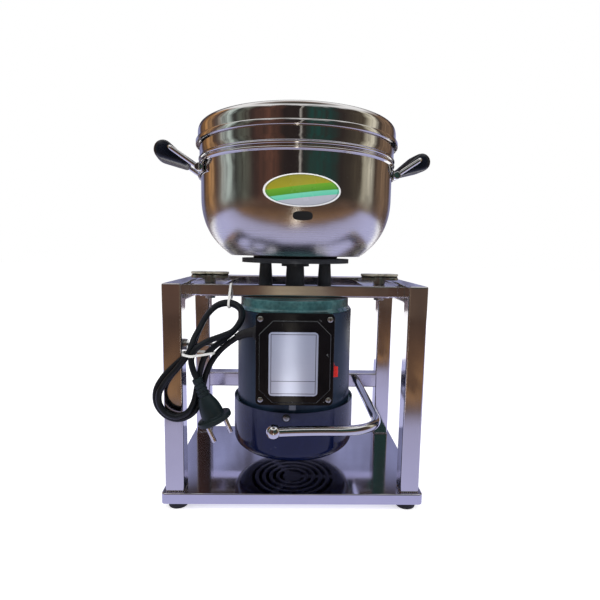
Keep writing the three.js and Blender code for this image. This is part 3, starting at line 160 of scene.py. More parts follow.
def noise(place, scale, detail, rough=0.5):
    return lay(place.tree, "TexNoise", place, Scale=scale, Detail=detail, Roughness=rough)[0]


def split(place):
    """The three numbers of a vector."""
    parts = lay(place.tree, "SeparateXYZ", place)
    return parts[0], parts[1], parts[2]


def spread(wire, low, high, to_low=0.0, to_high=1.0):
    """Carries one span of values onto another, and stops at its ends."""
    return lay(wire.tree, "MapRange", wire, low, high, to_low, to_high)[0]


def ramp(wire, stops):
    """A colour ramp through (place, colour) stops."""
    node = wire.tree.nodes.new("ShaderNodeValToRGB")
    elements = node.color_ramp.elements
    while len(elements) < len(stops):
        elements.new(0.5)
    for element, (place, colour) in zip(elements, stops):
        element.position = place
        element.color = (*colour, 1)
    feed(node.inputs[0], wire)
    return Wire(node.outputs[0])


def mix(factor, first, second):
    """The second colour over the first, by the factor."""
    node = factor.tree.nodes.new("ShaderNodeMix")
    node.data_type = "RGBA"
    for number, value in ((0, factor), (6, first), (7, second)):
        feed(node.inputs[number], value)
    return Wire(node.outputs[2])


# ---------------------------------------------------------------- shared effects

GREY = (0.5, 0.5, 0.5, 1)


def open_group(name, **inputs):
    """A shader group with its inputs; returns its tree, its input wires and its object coordinates."""
    tree = bpy.data.node_groups.new(name, "ShaderNodeTree")
    for label, value in inputs.items():
        kind = "Float" if isinstance(value, float) else {3: "Vector", 4: "Color"}[len(value)]
        socket = tree.interface.new_socket(name=label, in_out="INPUT", socket_type="NodeSocket" + kind)
        socket.default_value = value
    return tree, wires(tree.nodes.new("NodeGroupInput")), coordinates(tree)


def close_group(tree, **outputs):
    """Gives a group its outputs."""
    for label, wire in outputs.items():
        kind = "Color" if wire.socket.type == "RGBA" else "Float"
        tree.interface.new_socket(name=label, in_out="OUTPUT", socket_type="NodeSocket" + kind)
    end = tree.nodes.new("NodeGroupOutput")
    for label, wire in outputs.items():
        feed(end.inputs[label], wire)
    return tree


def rubbed_edges_and_edge_highlight():
    """Rubbed edges and scattered scuffs: a second colour where the surface stands out; on the black cover its pale
    colour is a painted highlight along the edges.
    """
    tree, start, place = open_group("rubbed_edges_and_edge_highlight", Base=GREY, Worn=GREY, Amount=0.5, Scale=90.0)
    speckle = noise(place, start["Scale"], 6.0, 0.65)
    broken = (lay(tree, "NewGeometry")["Pointiness"] - 0.56) * 12.0 * speckle
    spots = (speckle - 0.66) * 5.0
    mask = ((broken.or_more(0.0) + spots.or_more(0.0)) * start["Amount"]).clamped()
    return close_group(tree, Color=mix(mask, start["Base"], start["Worn"]))


def belt_grain():
    """Fine lines of a brush or a polishing belt along one way, and faint smears."""
    tree, start, place = open_group("belt_grain", Stretch=(600.0, 600.0, 12.0))
    pulled = lay(tree, "VectorMath", place, start["Stretch"], operation="MULTIPLY")[0]
    return close_group(tree, Lines=noise(pulled, 1.0, 3.0, 0.7), Smears=noise(place, 22.0, 5.0, 0.6))


def hammered_skin():
    """The dimples of a hammered or cast painted skin, and its lighter crests."""
    tree, start, place = open_group("hammered_skin", Scale=240.0, Base=GREY, Crest=GREY)
    height = lay(tree, "TexVoronoi", place, feature="SMOOTH_F1", Smoothness=0.6, Scale=start["Scale"])["Distance"]
    patches = ((noise(place, 34.0, 5.0) - 0.32) * 2.6).clamped()
    tone = (patches * (height + 0.55)).clamped()
    return close_group(tree, Color=mix(tone, start["Base"], start["Crest"]), Height=height)


def settled_dust():
    """A thin film of dust, thicker on what faces up."""
    tree, start, place = open_group("settled_dust", Base=GREY, Dust=GREY, Amount=0.2, Scale=30.0)
    upward = split(lay(tree, "NewGeometry")["Normal"])[2].or_more(0.0) + 0.35
    mask = (upward * noise(place, start["Scale"], 8.0, 0.7) * start["Amount"]).clamped()
    return close_group(tree, Color=mix(mask, start["Base"], start["Dust"]))


RUBBED_EDGES_AND_EDGE_HIGHLIGHT = rubbed_edges_and_edge_highlight()
BELT_GRAIN = belt_grain()
HAMMERED_SKIN = hammered_skin()
SETTLED_DUST = settled_dust()


def grained(tree, *stretch):
    """Belt lines and smears, pulled along the axes."""
    grain = lay(tree, "Group", node_tree=BELT_GRAIN, Stretch=stretch)
    return grain["Lines"], grain["Smears"]


def scuffed_and_highlit(colour, worn_and_highlit, amount, scale):
    return lay(colour.tree, "Group", node_tree=RUBBED_EDGES_AND_EDGE_HIGHLIGHT, Base=colour, Worn=worn_and_highlit, Amount=amount,
               Scale=scale)["Color"]


def dusted(colour, dust, amount, scale):
    return lay(colour.tree, "Group", node_tree=SETTLED_DUST, Base=colour, Dust=dust, Amount=amount,
               Scale=scale)["Color"]


# ---------------------------------------------------------------- finishes


def start_finish(name, **plain):
    """A new material with plain values; returns it, its tree and its shader's sockets."""
    material = bpy.data.materials.new(name)
    material.use_nodes = True
    skin = material.node_tree.nodes["Principled BSDF"].inputs
    for key, value in plain.items():
        feed(skin[key.replace("_", " ")], value)
    return material, material.node_tree, skin


def roughen(skin, wire, low, high):
    """Roughness that changes over the surface between two values."""
    feed(skin["Roughness"], spread(wire, 0.3, 0.7, low, high))


def emboss(skin, height, strength, depth):
    """A bump from a height, its depth in mm."""
    feed(skin["Normal"], lay(height.tree, "Bump", Height=height, Strength=strength, Distance=depth * MM)[0])


def steel(name, colour, tint, rough, stretch, bump, metallic=1.0):
    """Stainless steel with belt lines along one way and faint hand smears."""
    material, tree, skin = start_finish(name, Metallic=metallic)
    lines, smears = grained(tree, *stretch)
    feed(skin["Base Color"], scuffed_and_highlit(mix(smears, colour, tint), (0.93, 0.92, 0.92), 0.35, 140.0))
    roughen(skin, lines * 0.5 + smears * 0.5, *rough)
    emboss(skin, lines, bump, 0.04)
    return material


def pot_finish():
    """The pot: mirror near the beads, brushed round below them."""
    material, tree, skin = start_finish("brushed_pot_steel", Metallic=1.0)
    height = split(coordinates(tree))[2]
    mirror = spread(height, 0.300, 0.352)
    lines, smears = grained(tree, 14, 14, 1500)
    rings = lay(tree, "TexNoise", noise_dimensions="1D", W=height, Scale=900.0, Detail=4.0, Roughness=0.8)[0]
    feed(skin["Base Color"], mix(smears, (0.78, 0.76, 0.74), (0.66, 0.65, 0.66)))
    feed(skin["Roughness"], (1.0 - mirror) * 0.20 + lines * 0.14)
    emboss(skin, (rings + lines) * (1.12 - mirror), 0.30, 0.06)
    return material


def paint(name, base, second, rough, coat, streak, dust, bump, shine):
    """Sprayed paint with a faint streak, an orange-peel skin and some dust."""
    material, tree, skin = start_finish(name, Coat_Weight=coat, Coat_Roughness=0.06, Specular_IOR_Level=shine)
    lines, smears = grained(tree, *streak)
    worn_and_highlit = scuffed_and_highlit(mix(lines, base, second), (0.24, 0.26, 0.32), 0.3, 120.0)
    feed(skin["Base Color"], dusted(worn_and_highlit, (0.42, 0.42, 0.46), dust, 26.0))
    roughen(skin, smears, *rough)
    emboss(skin, noise(coordinates(tree), 420.0, 2.0), bump, 0.12)
    return material


def casting(name, base, crest, scale, rough, depth, coat=0.0):
    """Hammered enamel or a painted sand casting."""
    material, tree, skin = start_finish(name, Roughness=rough, Coat_Weight=coat, Coat_Roughness=0.05)
    hammered = lay(tree, "Group", node_tree=HAMMERED_SKIN, Scale=scale, Base=base, Crest=crest)
    worn_and_highlit = scuffed_and_highlit(hammered["Color"], (0.30, 0.32, 0.34), 0.4, 90.0)
    feed(skin["Base Color"], dusted(worn_and_highlit, (0.40, 0.40, 0.42), 0.07, 34.0))
    emboss(skin, hammered["Height"], depth, 0.6)
    return material


def plastic(name, base, second, rough, bump, dust=0.03, shine=0.35, coat=0.0, wear_and_highlight=(0.10, 0.10, 0.12), rub_and_highlight=0.12):
    """Moulded plastic or rubber: a fine skin, handling marks and a trace of dust."""
    material, tree, skin = start_finish(name, Coat_Weight=coat, Coat_Roughness=0.05, Specular_IOR_Level=shine)
    place = coordinates(tree)
    marks = noise(place, 60.0, 6.0, 0.7)
    # pale edges: handling marks on most parts; with the cover's strong pale setting, a painted highlight along its
    # edges
    worn_and_highlit = scuffed_and_highlit(mix(marks, base, second), wear_and_highlight, rub_and_highlight, 150.0)
    feed(skin["Base Color"], dusted(worn_and_highlit, (0.30, 0.30, 0.33), dust, 40.0))
    roughen(skin, marks, *rough)
    emboss(skin, noise(place, 900.0, 3.0), bump, 0.08)
    return material


def from_middle(tree, x, z):
    """How far the surface lies across and up from a label's middle, which is given in mm."""
    across, _, upward = split(lay(tree, "Mapping", coordinates(tree), Location=(-x * MM, 0, -z * MM))[0])
    return across, upward


EVEN = (300, 300, 300)
OVAL_BANDS = ((0.0, (0.36, 0.37, 0.44)), (0.27, (0.42, 0.43, 0.51)), (0.28, (0.10, 0.52, 0.36)),
              (0.42, (0.16, 0.60, 0.42)), (0.43, (0.06, 0.26, 0.01)), (0.64, (0.13, 0.36, 0.01)),
              (0.65, (0.32, 0.29, 0.005)), (1.0, (0.24, 0.22, 0.003)))
OVAL_PLACE = (4.7, 336.4)
OVAL_SIZE = (76, 31)
RIM_REACH = 0.87
LINE_REACH = (0.80, 0.825)


def oval_label_finish():
    """The oval label's print: plain bands of green, olive, mint and lilac inside a white rim."""
    material, tree, skin = start_finish("oval_label_print", Coat_Weight=0.4, Coat_Roughness=0.05)
    across, upward = (along / (size / 2 * MM) for along, size in zip(from_middle(tree, *OVAL_PLACE), OVAL_SIZE))
    reach = across * across + upward * upward
    height = ((upward + across * -0.32) * 0.5 + 0.5).clamped()
    line = (reach > LINE_REACH[0]) * (reach < LINE_REACH[1])
    print_colour = mix(line, ramp(height, OVAL_BANDS), (0.05, 0.09, 0.05))
    print_colour = mix(reach > RIM_REACH, print_colour, (0.86, 0.86, 0.88))
    smears = grained(tree, *EVEN)[1]
    feed(skin["Base Color"], mix(smears * 0.05, print_colour, (0.7, 0.7, 0.7)))
    roughen(skin, smears, 0.18, 0.34)
    return material


PLATE_PLACE = (-1.5, 165.7)
BORDER_REACH = (22.6, 30.6)
RULE_LEVEL = 17.5
INK_HALF = 0.32
RULE_HALF = 0.28


def rating_plate_finish():
    """Brushed plate with a thin black border line and one ruled line, and no lettering; its lavender-blue tone is a
    painted reflection.
    """
    material, tree, skin = start_finish("rating_plate_metal", Metallic=0.55)
    across, upward = from_middle(tree, *PLATE_PLACE)
    side = abs(across) - BORDER_REACH[0] * MM
    border = abs(side.or_more(abs(upward) - BORDER_REACH[1] * MM)) < INK_HALF * MM
    rule = (abs(upward + RULE_LEVEL * MM) < RULE_HALF * MM) * (side < 0.0)
    lines = grained(tree, 26, 40, 2600)[0]
    # two shades along the brushing lines; their lavender-blue tone is a painted reflection of a pale lavender
    # surround
    brushed = mix(lines, (0.43, 0.49, 0.70), (0.49, 0.55, 0.77))
    feed(skin["Base Color"], mix(border.or_more(rule), brushed, (0.05, 0.05, 0.07)))
    roughen(skin, lines, 0.11, 0.16)
    emboss(skin, lines, 0.10, 0.03)
    return material


TUBE = ((0.76, 0.74, 0.75), (0.66, 0.64, 0.68), (0.05, 0.17))
BLACK = ((0.0012, 0.0012, 0.002), (0.005, 0.005, 0.007), (0.06, 0.16), 0.05, 0.008, 0.22)
FINISH = {
    "polished_steel": steel("polished_tube_steel", *TUBE, (700, 700, 9), 0.10),
    "polished_rail": steel("polished_rail_steel", *TUBE, (9, 700, 700), 0.10),
    "polished_side": steel("polished_side_steel", *TUBE, (700, 9, 700), 0.10),
    "tray_steel": steel("mirror_tray_steel", (0.74, 0.73, 0.78), (0.64, 0.63, 0.72), (0.04, 0.13), (8, 500, 500),
                        0.06),
    "lid_steel": steel("mirror_lid_steel", (0.80, 0.78, 0.76), (0.72, 0.71, 0.72), (0.03, 0.08), (20, 20, 900),
                       0.05),
    "brushed_steel": steel("blade_steel", (0.68, 0.67, 0.66), (0.58, 0.57, 0.57), (0.18, 0.36), (60, 900, 900),
                           0.25),
    "bright_chrome": steel("bright_chrome_rod", (0.84, 0.84, 0.84), (0.74, 0.74, 0.76), (0.04, 0.16),
                           (60, 60, 900), 0.06),
    "zinc": steel("zinc_hardware", (0.62, 0.63, 0.60), (0.48, 0.50, 0.48), (0.22, 0.42), EVEN, 0.25),
    "nut_steel": steel("polished_nut_steel", (0.80, 0.78, 0.64), (0.64, 0.62, 0.50), (0.24, 0.38), EVEN, 0.06, 0.5),
    # near-black steel for the wing nut's groove: painted shade
    "nut_groove_painted_shade": steel("nut_groove_painted_shade_steel", (0.030, 0.030, 0.026), (0.014, 0.014, 0.013), (0.4, 0.6), EVEN, 0.3,
                          0.5),
    "weld": steel("weld_bead_steel", (0.66, 0.62, 0.60), (0.40, 0.34, 0.36), (0.22, 0.45), (500, 500, 500), 0.5),
    "bare_steel": steel("ground_shaft_steel", (0.60, 0.60, 0.61), (0.48, 0.48, 0.50), (0.2, 0.4), (400, 400, 900),
                        0.2),
    "winding_copper": steel("lamination_and_winding", (0.62, 0.36, 0.22), (0.42, 0.26, 0.18), (0.3, 0.5),
                            (200, 200, 1400), 0.6, 0.8),
    "pot_steel": pot_finish(),
    "motor_paint": paint("slate_blue_barrel_paint", (0.004, 0.012, 0.030), (0.016, 0.034, 0.064), (0.24, 0.40),
                         0.03, (130, 130, 3), 0.03, 0.30, 0.26),
    "cowl_paint": paint("gloss_navy_cowl_paint", (0.002, 0.005, 0.028), (0.005, 0.009, 0.052), (0.05, 0.12),
                        0.10, (20, 20, 12), 0.008, 0.05, 0.34),
    "hammered_paint": casting("teal_hammered_enamel", (0.006, 0.040, 0.050), (0.060, 0.180, 0.190), 330.0, 0.20,
                              0.30, 0.5),
    "dark_cast_iron": casting("painted_sand_casting", (0.010, 0.014, 0.022), (0.036, 0.044, 0.056), 700.0, 0.55,
                              0.35),
    "gloss_black": plastic("gloss_black_box", *BLACK),
    # the cover's strong pale edge colour is a painted highlight along its edges
    "cover_black": plastic("gloss_black_cover_painted_edge_highlight", *BLACK, wear_and_highlight=(0.34, 0.36, 0.38), rub_and_highlight=0.9),
    "grip_black": plastic("satin_black_grip", (0.002, 0.003, 0.007), (0.005, 0.007, 0.014), (0.18, 0.32), 0.02,
                          0.01, 0.2),
    "black_rubber": plastic("matt_black_rubber", (0.006, 0.006, 0.007), (0.018, 0.018, 0.021), (0.5, 0.75), 0.35,
                            0.08),
    "cord_black": plastic("cord_sheath", (0.002, 0.003, 0.005), (0.008, 0.011, 0.015), (0.26, 0.40), 0.12, 0.02),
    "plug_black": plastic("plug_rubber", (0.002, 0.007, 0.009), (0.010, 0.020, 0.024), (0.32, 0.48), 0.25),
    "switch_red": plastic("gloss_red_rocker", (0.62, 0.012, 0.012), (0.80, 0.03, 0.025), (0.16, 0.28), 0.05, 0.04,
                          coat=0.4, wear_and_highlight=(0.85, 0.25, 0.2)),
    "tie_white": plastic("white_tie_plastic", (0.74, 0.74, 0.72), (0.86, 0.86, 0.84), (0.32, 0.5), 0.12, 0.02,
                         wear_and_highlight=(0.9, 0.9, 0.9)),
    "capacitor_white": plastic("capacitor_case", (0.70, 0.70, 0.64), (0.82, 0.81, 0.76), (0.3, 0.45), 0.10),
    "fan_plastic": plastic("matt_fan_plastic", (0.014, 0.014, 0.015), (0.035, 0.035, 0.037), (0.45, 0.65), 0.25),
    "tab_grey": plastic("grey_cover_tab", (0.05, 0.055, 0.08), (0.09, 0.10, 0.14), (0.3, 0.5), 0.12),
    "label_black": plastic("black_size_mark", (0.008, 0.008, 0.009), (0.016, 0.016, 0.018), (0.3, 0.45), 0.05),
    "oval_label": oval_label_finish(),
    "rating_plate": rating_plate_finish(),
}
SLOT = {
    "polished_steel": ("polished_rail", "polished_side", "tray_steel", "lid_steel", "weld"),
    "brushed_steel": ("pot_steel", "rating_plate"),
    "gloss_black": ("cover_black", "tab_grey"),
    "cord_black": ("plug_black",),
    "zinc": ("nut_steel",),
    "tie_white": ("oval_label", "label_black"),
}
SLOT = {finish: slot for slot, finishes in SLOT.items() for finish in finishes}

# ---------------------------------------------------------------- piece helpers


def to_mesh(name, form, *materials):
    """A mesh from a form, which it uses up."""
    mesh = bpy.data.meshes.new(name)
    form.to_mesh(mesh)
    form.free()
    for material in materials:
        mesh.materials.append(material)
    return mesh


def pour(form, mesh):
    """Adds a mesh to a form and clears the mesh away."""
    form.from_mesh(mesh)
    bpy.data.meshes.remove(mesh)
    return form


def finish_piece(name, form, finish, node=None, crease=32.0, flats=False, body="stand", more=()):
    """Turns a form into a piece: shading, finishes, body and the node it stands for."""
    mesh = to_mesh(name, form, FINISH[finish], *(FINISH[other] for other in more))
    mesh.shade_smooth()
    mesh.set_sharp_from_angle(angle=math.radians(crease))
    piece = put(name, mesh)
    if flats:
        piece.modifiers.new("even_flats", "WEIGHTED_NORMAL").keep_sharp = True
    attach(piece, body)
    if node:
        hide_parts(node)
    return piece


def from_node(node):
    """A CAD node's mesh as a fresh bmesh with its triangles joined into clean faces."""
    form = bmesh.new()
    form.from_mesh(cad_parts[node].data)
    bmesh.ops.remove_doubles(form, verts=form.verts, dist=2 * MERGE)
    bmesh.ops.dissolve_limit(form, angle_limit=math.radians(0.6), verts=form.verts, edges=form.edges)
    return form


def dressed(node, finish, edge, steps, crease=32.0, body="stand"):
    """A piece that keeps a node's form, with its edges broken by a small round."""
    piece = finish_piece(node + "_skin", from_node(node), finish, node, crease, body=body)
    give(piece.modifiers.new("broken_edges", "BEVEL"), width=edge * MM, segments=steps, limit_method="ANGLE",
         angle_limit=math.radians(crease))
    piece.modifiers.new("even_flats", "WEIGHTED_NORMAL")
    return piece


def set_normals(form):
    """Closes doubled seams and turns all faces outward."""
    bmesh.ops.remove_doubles(form, verts=form.verts, dist=MERGE)
    bmesh.ops.recalc_face_normals(form, faces=form.faces)
    return form


def joined(*forms):
    """Several forms as one."""
    whole = bmesh.new()
    for form in forms:
        pour(whole, to_mesh("part", form))
    return whole


def spin(form, geom, steps, centre=(0, 0, 0), angle=math.tau):
    """Sweeps geometry round an upright axis."""
    bmesh.ops.spin(form, geom=geom, cent=centre, axis=(0, 0, 1), dvec=(0, 0, 0), angle=angle, steps=steps,
                   use_merge=angle == math.tau, use_normal_flip=False, use_duplicate=False)


def turned(section, steps=TURN_STEPS, centre=(0, 0), closed=True):
    """A turned form: a section of (radius, level) points in mm, spun round an upright axis."""
    form = bmesh.new()
    middle = Vector((*centre, 0)) * MM
    ring = [form.verts.new(middle + Vector((radius, 0, level)) * MM) for radius, level in section]
    edges = [form.edges.new(pair) for pair in zip(ring, ring[1:] + ring[:1] if closed else ring[1:])]
    spin(form, ring + edges, steps, middle)
    return set_normals(form)


def turn_form(form, angle, verts=None):
    """Turns a form, or some of its corners, about the upright axis."""
    bmesh.ops.rotate(form, cent=(0, 0, 0), matrix=Matrix.Rotation(angle, 3, "Z"), verts=verts or form.verts)
    return form


def bevelled(form, edges, offset, segments):
    """Rounds edges by an offset in mm."""
    bmesh.ops.bevel(form, geom=edges, offset=offset * MM, segments=segments, affect="EDGES", profile=0.5,
                    material=-1)
    return form


def edges_at(form, axis, level):
    """The edges that lie at a level in mm along an axis."""
    return [edge for edge in form.edges if all(abs(vert.co[axis] - level * MM) < MERGE for vert in edge.verts)]


def sharp_edges(form, angle):
    """The edges that turn by more than an angle in degrees."""
    return [edge for edge in form.edges if len(edge.link_faces) == 2
            and edge.calc_face_angle(0) > math.radians(angle)]


def facing(place, way):
    """Carries an upright form at the origin to a place in mm, its top turned a given way."""
    return Matrix.Translation(Vector(place) * MM) @ Vector(way).to_track_quat("Z", "Y").to_matrix().to_4x4()


def lofted(form, loops):
    """Bridges rings of edges in turn and closes both ends."""
    for before, after in zip(loops, loops[1:]):
        bmesh.ops.bridge_loops(form, edges=before + after)
    for end in (loops[0], loops[-1]):
        bmesh.ops.edgeloop_fill(form, edges=end)
    return set_normals(form)


def bend(points, steps):
    """Even steps along a smooth bend, whose inner points are its handles."""
    route = []
    for step in range(steps + 1):
        row = [Vector(point) for point in points]
        while len(row) > 1:
            row = [before.lerp(after, step / steps) for before, after in zip(row, row[1:])]
        route.append(row[0])
    return route


BLUNT_CORNER = math.radians(160)


def softened(section, radius, steps=3, closed=True):
    """A section with each sharp corner turned into a small round of that radius in mm."""
    out = []
    last = len(section) - 1
    for place, corner in enumerate(section):
        here = Vector(corner)
        back = Vector(section[place - 1]) - here
        on = Vector(section[place + 1 if place < last else 0]) - here
        open_end = not closed and place in (0, last)
        if open_end or min(back.length, on.length) < MERGE or back.angle(on) > BLUNT_CORNER:
            out.append(here)
            continue
        reach = min(radius, 0.45 * back.length, 0.45 * on.length)
        out += bend((here + back.normalized() * reach, here, here + on.normalized() * reach), steps)
    return out


def walled(outline, wall):
    """A sheet section: the outer line, and the same line set inward by the wall."""
    inner = []
    for place, (radius, level) in enumerate(outline):
        before, after = outline[max(place - 1, 0)], outline[min(place + 1, len(outline) - 1)]
        run = (Vector(after) - Vector(before)).normalized()
        inner.append((radius - run.y * wall, level + run.x * wall))
    return outline + inner[::-1]


def block(low, high, soft=0.0, along=None, steps=4):
    """A box between two corners in mm; edges along one axis, or all, are rounded."""
    form = bmesh.new()
    low, high = Vector(low) * MM, Vector(high) * MM
    bmesh.ops.create_cube(form, size=1.0)
    bmesh.ops.scale(form, vec=high - low, verts=form.verts)
    bmesh.ops.translate(form, vec=(high + low) / 2, verts=form.verts)
    if soft:
        bevelled(form, [edge for edge in form.edges if along is None
                        or abs((edge.verts[0].co - edge.verts[1].co).normalized()[along]) > 0.9], soft, steps)
    return set_normals(form)


def wire_object(name, route, radius, sides):
    """A round wire as a curve along points in mm."""
    line = give(bpy.data.curves.new(name, "CURVE"), dimensions="3D", bevel_depth=radius * MM,
                bevel_resolution=sides, use_fill_caps=True)
    spline = line.splines.new("POLY")
    spline.points.add(len(route) - 1)
    for knot, point in zip(spline.points, route):
        knot.co = (*(point * MM), 1)
    return put(name, line)


def wire_form(route, radius, sides):
    """A round wire as a bmesh."""
    holder = wire_object("wire", route, radius, sides)
    form = pour(bmesh.new(), bpy.data.meshes.new_from_object(holder))
    bpy.data.curves.remove(holder.data)
    return set_normals(form)


def screw_form(radius, height, slot_width):
    """A pan head, upright at the origin, with a crossed slot if it has a slot width, drawn as a thin near-black bar:
    painted shade.
    """
    form = turned([(0, 0), (radius, 0), (radius, height * 0.45), (radius * 0.82, height * 0.85),
                   (radius * 0.5, height), (0, height)], 24, closed=False)
    for turn in (0, math.pi / 2) if slot_width else ():
        bar = bmesh.ops.create_cube(form, size=1.0)["verts"]
        bmesh.ops.scale(form, vec=Vector((radius * 1.15, slot_width, 0.3)) * MM, verts=bar)
        turn_form(form, turn, bar)
        bmesh.ops.translate(form, vec=(0, 0, (height - 0.1) * MM), verts=bar)
        # the slot bar takes the black rubber finish: painted shade standing for the dark recess
        for face in {face for vert in bar for face in vert.link_faces}:
            face.material_index = 1
    return form


def set_screw(name, place, way, size, finish, crease=40.0):
    """One screw, rivet or washer at a place in mm, its head facing a given way."""
    form = screw_form(*size)
    bmesh.ops.transform(form, matrix=facing(place, way), verts=form.verts)
    # a slotted head carries the black rubber finish for its slot bar: painted shade in the slot
    finish_piece(name, form, finish, crease=crease, more=("black_rubber",) if size[-1] else ())


# ---------------------------------------------------------------- mains cord first

LEAD_ROUTE = [
    (-61.39, -76, 188.2), (-65.07, -76, 185.62), (-68.74, -76.06, 183.01), (-72.27, -76.38, 180.24),
    (-75.63, -76.95, 177.3), (-78.77, -77.73, 174.17), (-81.67, -78.67, 170.86), (-84.3, -79.7, 167.36),
    (-86.65, -80.78, 163.67), (-88.71, -81.84, 159.81), (-90.47, -82.85, 155.79), (-91.93, -83.74, 151.64),
    (-93.12, -84.5, 147.36), (-94.05, -85.11, 143), (-94.94, -85.68, 138.62)]
HANK_ROUTE = [
    (-98.24, -87.79, 122.43), (-105.81, -88.61, 109.88), (-120.5, -88.5, 103.6), (-133.85, -88.09, 107.7),
    (-142.6, -87.84, 119.52), (-142.78, -87.86, 134.69), (-134.49, -88.08, 149.47), (-122, -88, 162),
    (-109.68, -85.32, 173.21), (-104.98, -78.73, 183.67), (-102.65, -70.02, 192.65), (-99.73, -60.73, 200.59),
    (-96, -52, 209), (-89.54, -44.85, 216.56), (-80.79, -40.76, 220.84), (-71.19, -40.35, 221.16),
    (-62.66, -43.65, 217.59), (-57.6, -50, 211), (-58.43, -58.64, 203.12), (-64.11, -68.21, 195.01),
    (-73.93, -77.33, 186.9), (-85.08, -84.47, 178.54), (-92.91, -88.22, 169.54), (-96.88, -89.92, 155.48),
    (-99.86, -91.36, 139.85), (-102.93, -93.5, 124.23), (-108.85, -94.33, 113.85), (-120.84, -94.22, 108.59),
    (-131.21, -93.81, 111.95), (-137.93, -93.56, 121.32), (-138.09, -93.58, 132.94), (-130.72, -93.8, 146.18),
    (-118.83, -94.54, 159.78), (-108, -92.59, 174.66), (-103.94, -84.66, 188.3), (-99.99, -75.02, 197.72),
    (-97, -66.01, 205.32), (-92.49, -57.8, 212.43), (-85.95, -51.35, 218.2), (-78.71, -48.06, 220.37),
    (-72.61, -47.78, 220.42), (-66.28, -50.17, 219.07), (-60.05, -55.56, 215.57), (-57.51, -64.32, 208.08),
    (-62.05, -74.67, 198.46), (-66.53, -79.58, 194.73), (-74.52, -84.57, 191.81), (-84.13, -89.32, 188.79),
    (-93.47, -93.54, 184.72), (-100.66, -96.93, 178.69), (-103.81, -99.18, 169.75), (-101.04, -100, 156.98),
    (-99.83, -100, 154.13), (-98.62, -100, 151.28)]
CORD_THICKNESS = 6.2
CORD_SMOOTH = 7
CURVE_SPANS = (((0, 1), (1, 2), (2, 3)), ((0, 2), (1, 3)), ((1, 2),))


def smooth_route(points, per_span):
    """Even points along a centripetal curve through the route's points."""
    knots = [Vector(point) for point in points]
    knots = [knots[0] * 2 - knots[1]] + knots + [knots[-1] * 2 - knots[-2]]
    route = []
    for run in zip(knots, knots[1:], knots[2:], knots[3:]):
        times = [0.0]
        for before, after in zip(run, run[1:]):
            times.append(times[-1] + (after - before).length ** 0.5)
        for step in range(per_span):
            now = times[1] + (times[2] - times[1]) * step / per_span
            row = run
            for spans in CURVE_SPANS:
                row = [before.lerp(after, (now - times[first]) / (times[last] - times[first]))
                       for before, after, (first, last) in zip(row, row[1:], spans)]
            route.append(row[0])
    return route + [knots[-2]]


def lay_cord():
    """The whole mains cord as one tube from the gland to the plug."""
    route = smooth_route(LEAD_ROUTE + HANK_ROUTE, CORD_SMOOTH)
    cord = wire_object("mains_cord", route, CORD_THICKNESS / 2, 6)
    cord.data.materials.append(FINISH["cord_black"])
    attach(cord, "stand")
    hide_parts("mains_lead", "cord_hank")
    return cord, sum((after - before).length for before, after in zip(route, route[1:])) * MM


cord, cord_length = lay_cord()

# ---------------------------------------------------------------- gland, plug and ties

GLAND_STATIONS = ((-30.0, 5.0), (-38.2, 5.0), (-38.3, 6.9), (-38.8, 7.6), (-42.8, 7.6), (-43.3, 7.0), (-43.4, 5.7))
GLAND_AXIS = (-76.0, 194.0)
GLAND_END = -43.4
SLEEVE_BEND = math.radians(35)
SLEEVE_TURN = 31.1
SLEEVE_STEPS = 18


def make_gland():
    """The strain relief: neck, nut and a bent, grooved sleeve that tapers onto the cord."""
    y, z = GLAND_AXIS
    rings = [((along, y, z), (-1, 0, 0), radius) for along, radius in GLAND_STATIONS]
    for step in range(1, SLEEVE_STEPS + 1):
        angle = SLEEVE_BEND * step / SLEEVE_STEPS
        out, drop = math.sin(angle), 1 - math.cos(angle)
        groove = 0.32 if step % 3 == 1 and step < SLEEVE_STEPS - 1 else 0.0
        rings.append(((GLAND_END - SLEEVE_TURN * out, y, z - SLEEVE_TURN * drop), (drop - 1, 0, -out),
                      5.6 - 1.6 * step / SLEEVE_STEPS - groove))
    form = bmesh.new()
    loops = []
    for centre, heading, radius in rings:
        verts = bmesh.ops.create_circle(form, cap_ends=False, radius=radius * MM, segments=32,
                                        matrix=facing(centre, heading))["verts"]
        loops.append(list({edge for vert in verts for edge in vert.link_edges}))
    return finish_piece("cord_gland_sleeve", lofted(form, loops), "black_rubber", "cord_gland", 60.0)


PLUG_PLACE = facing((-98.5, -100.0, 151.0), (0.39073, 0.0, -0.92050))
PLUG_SPIN = math.radians(62)
PIN_APART = 19.0


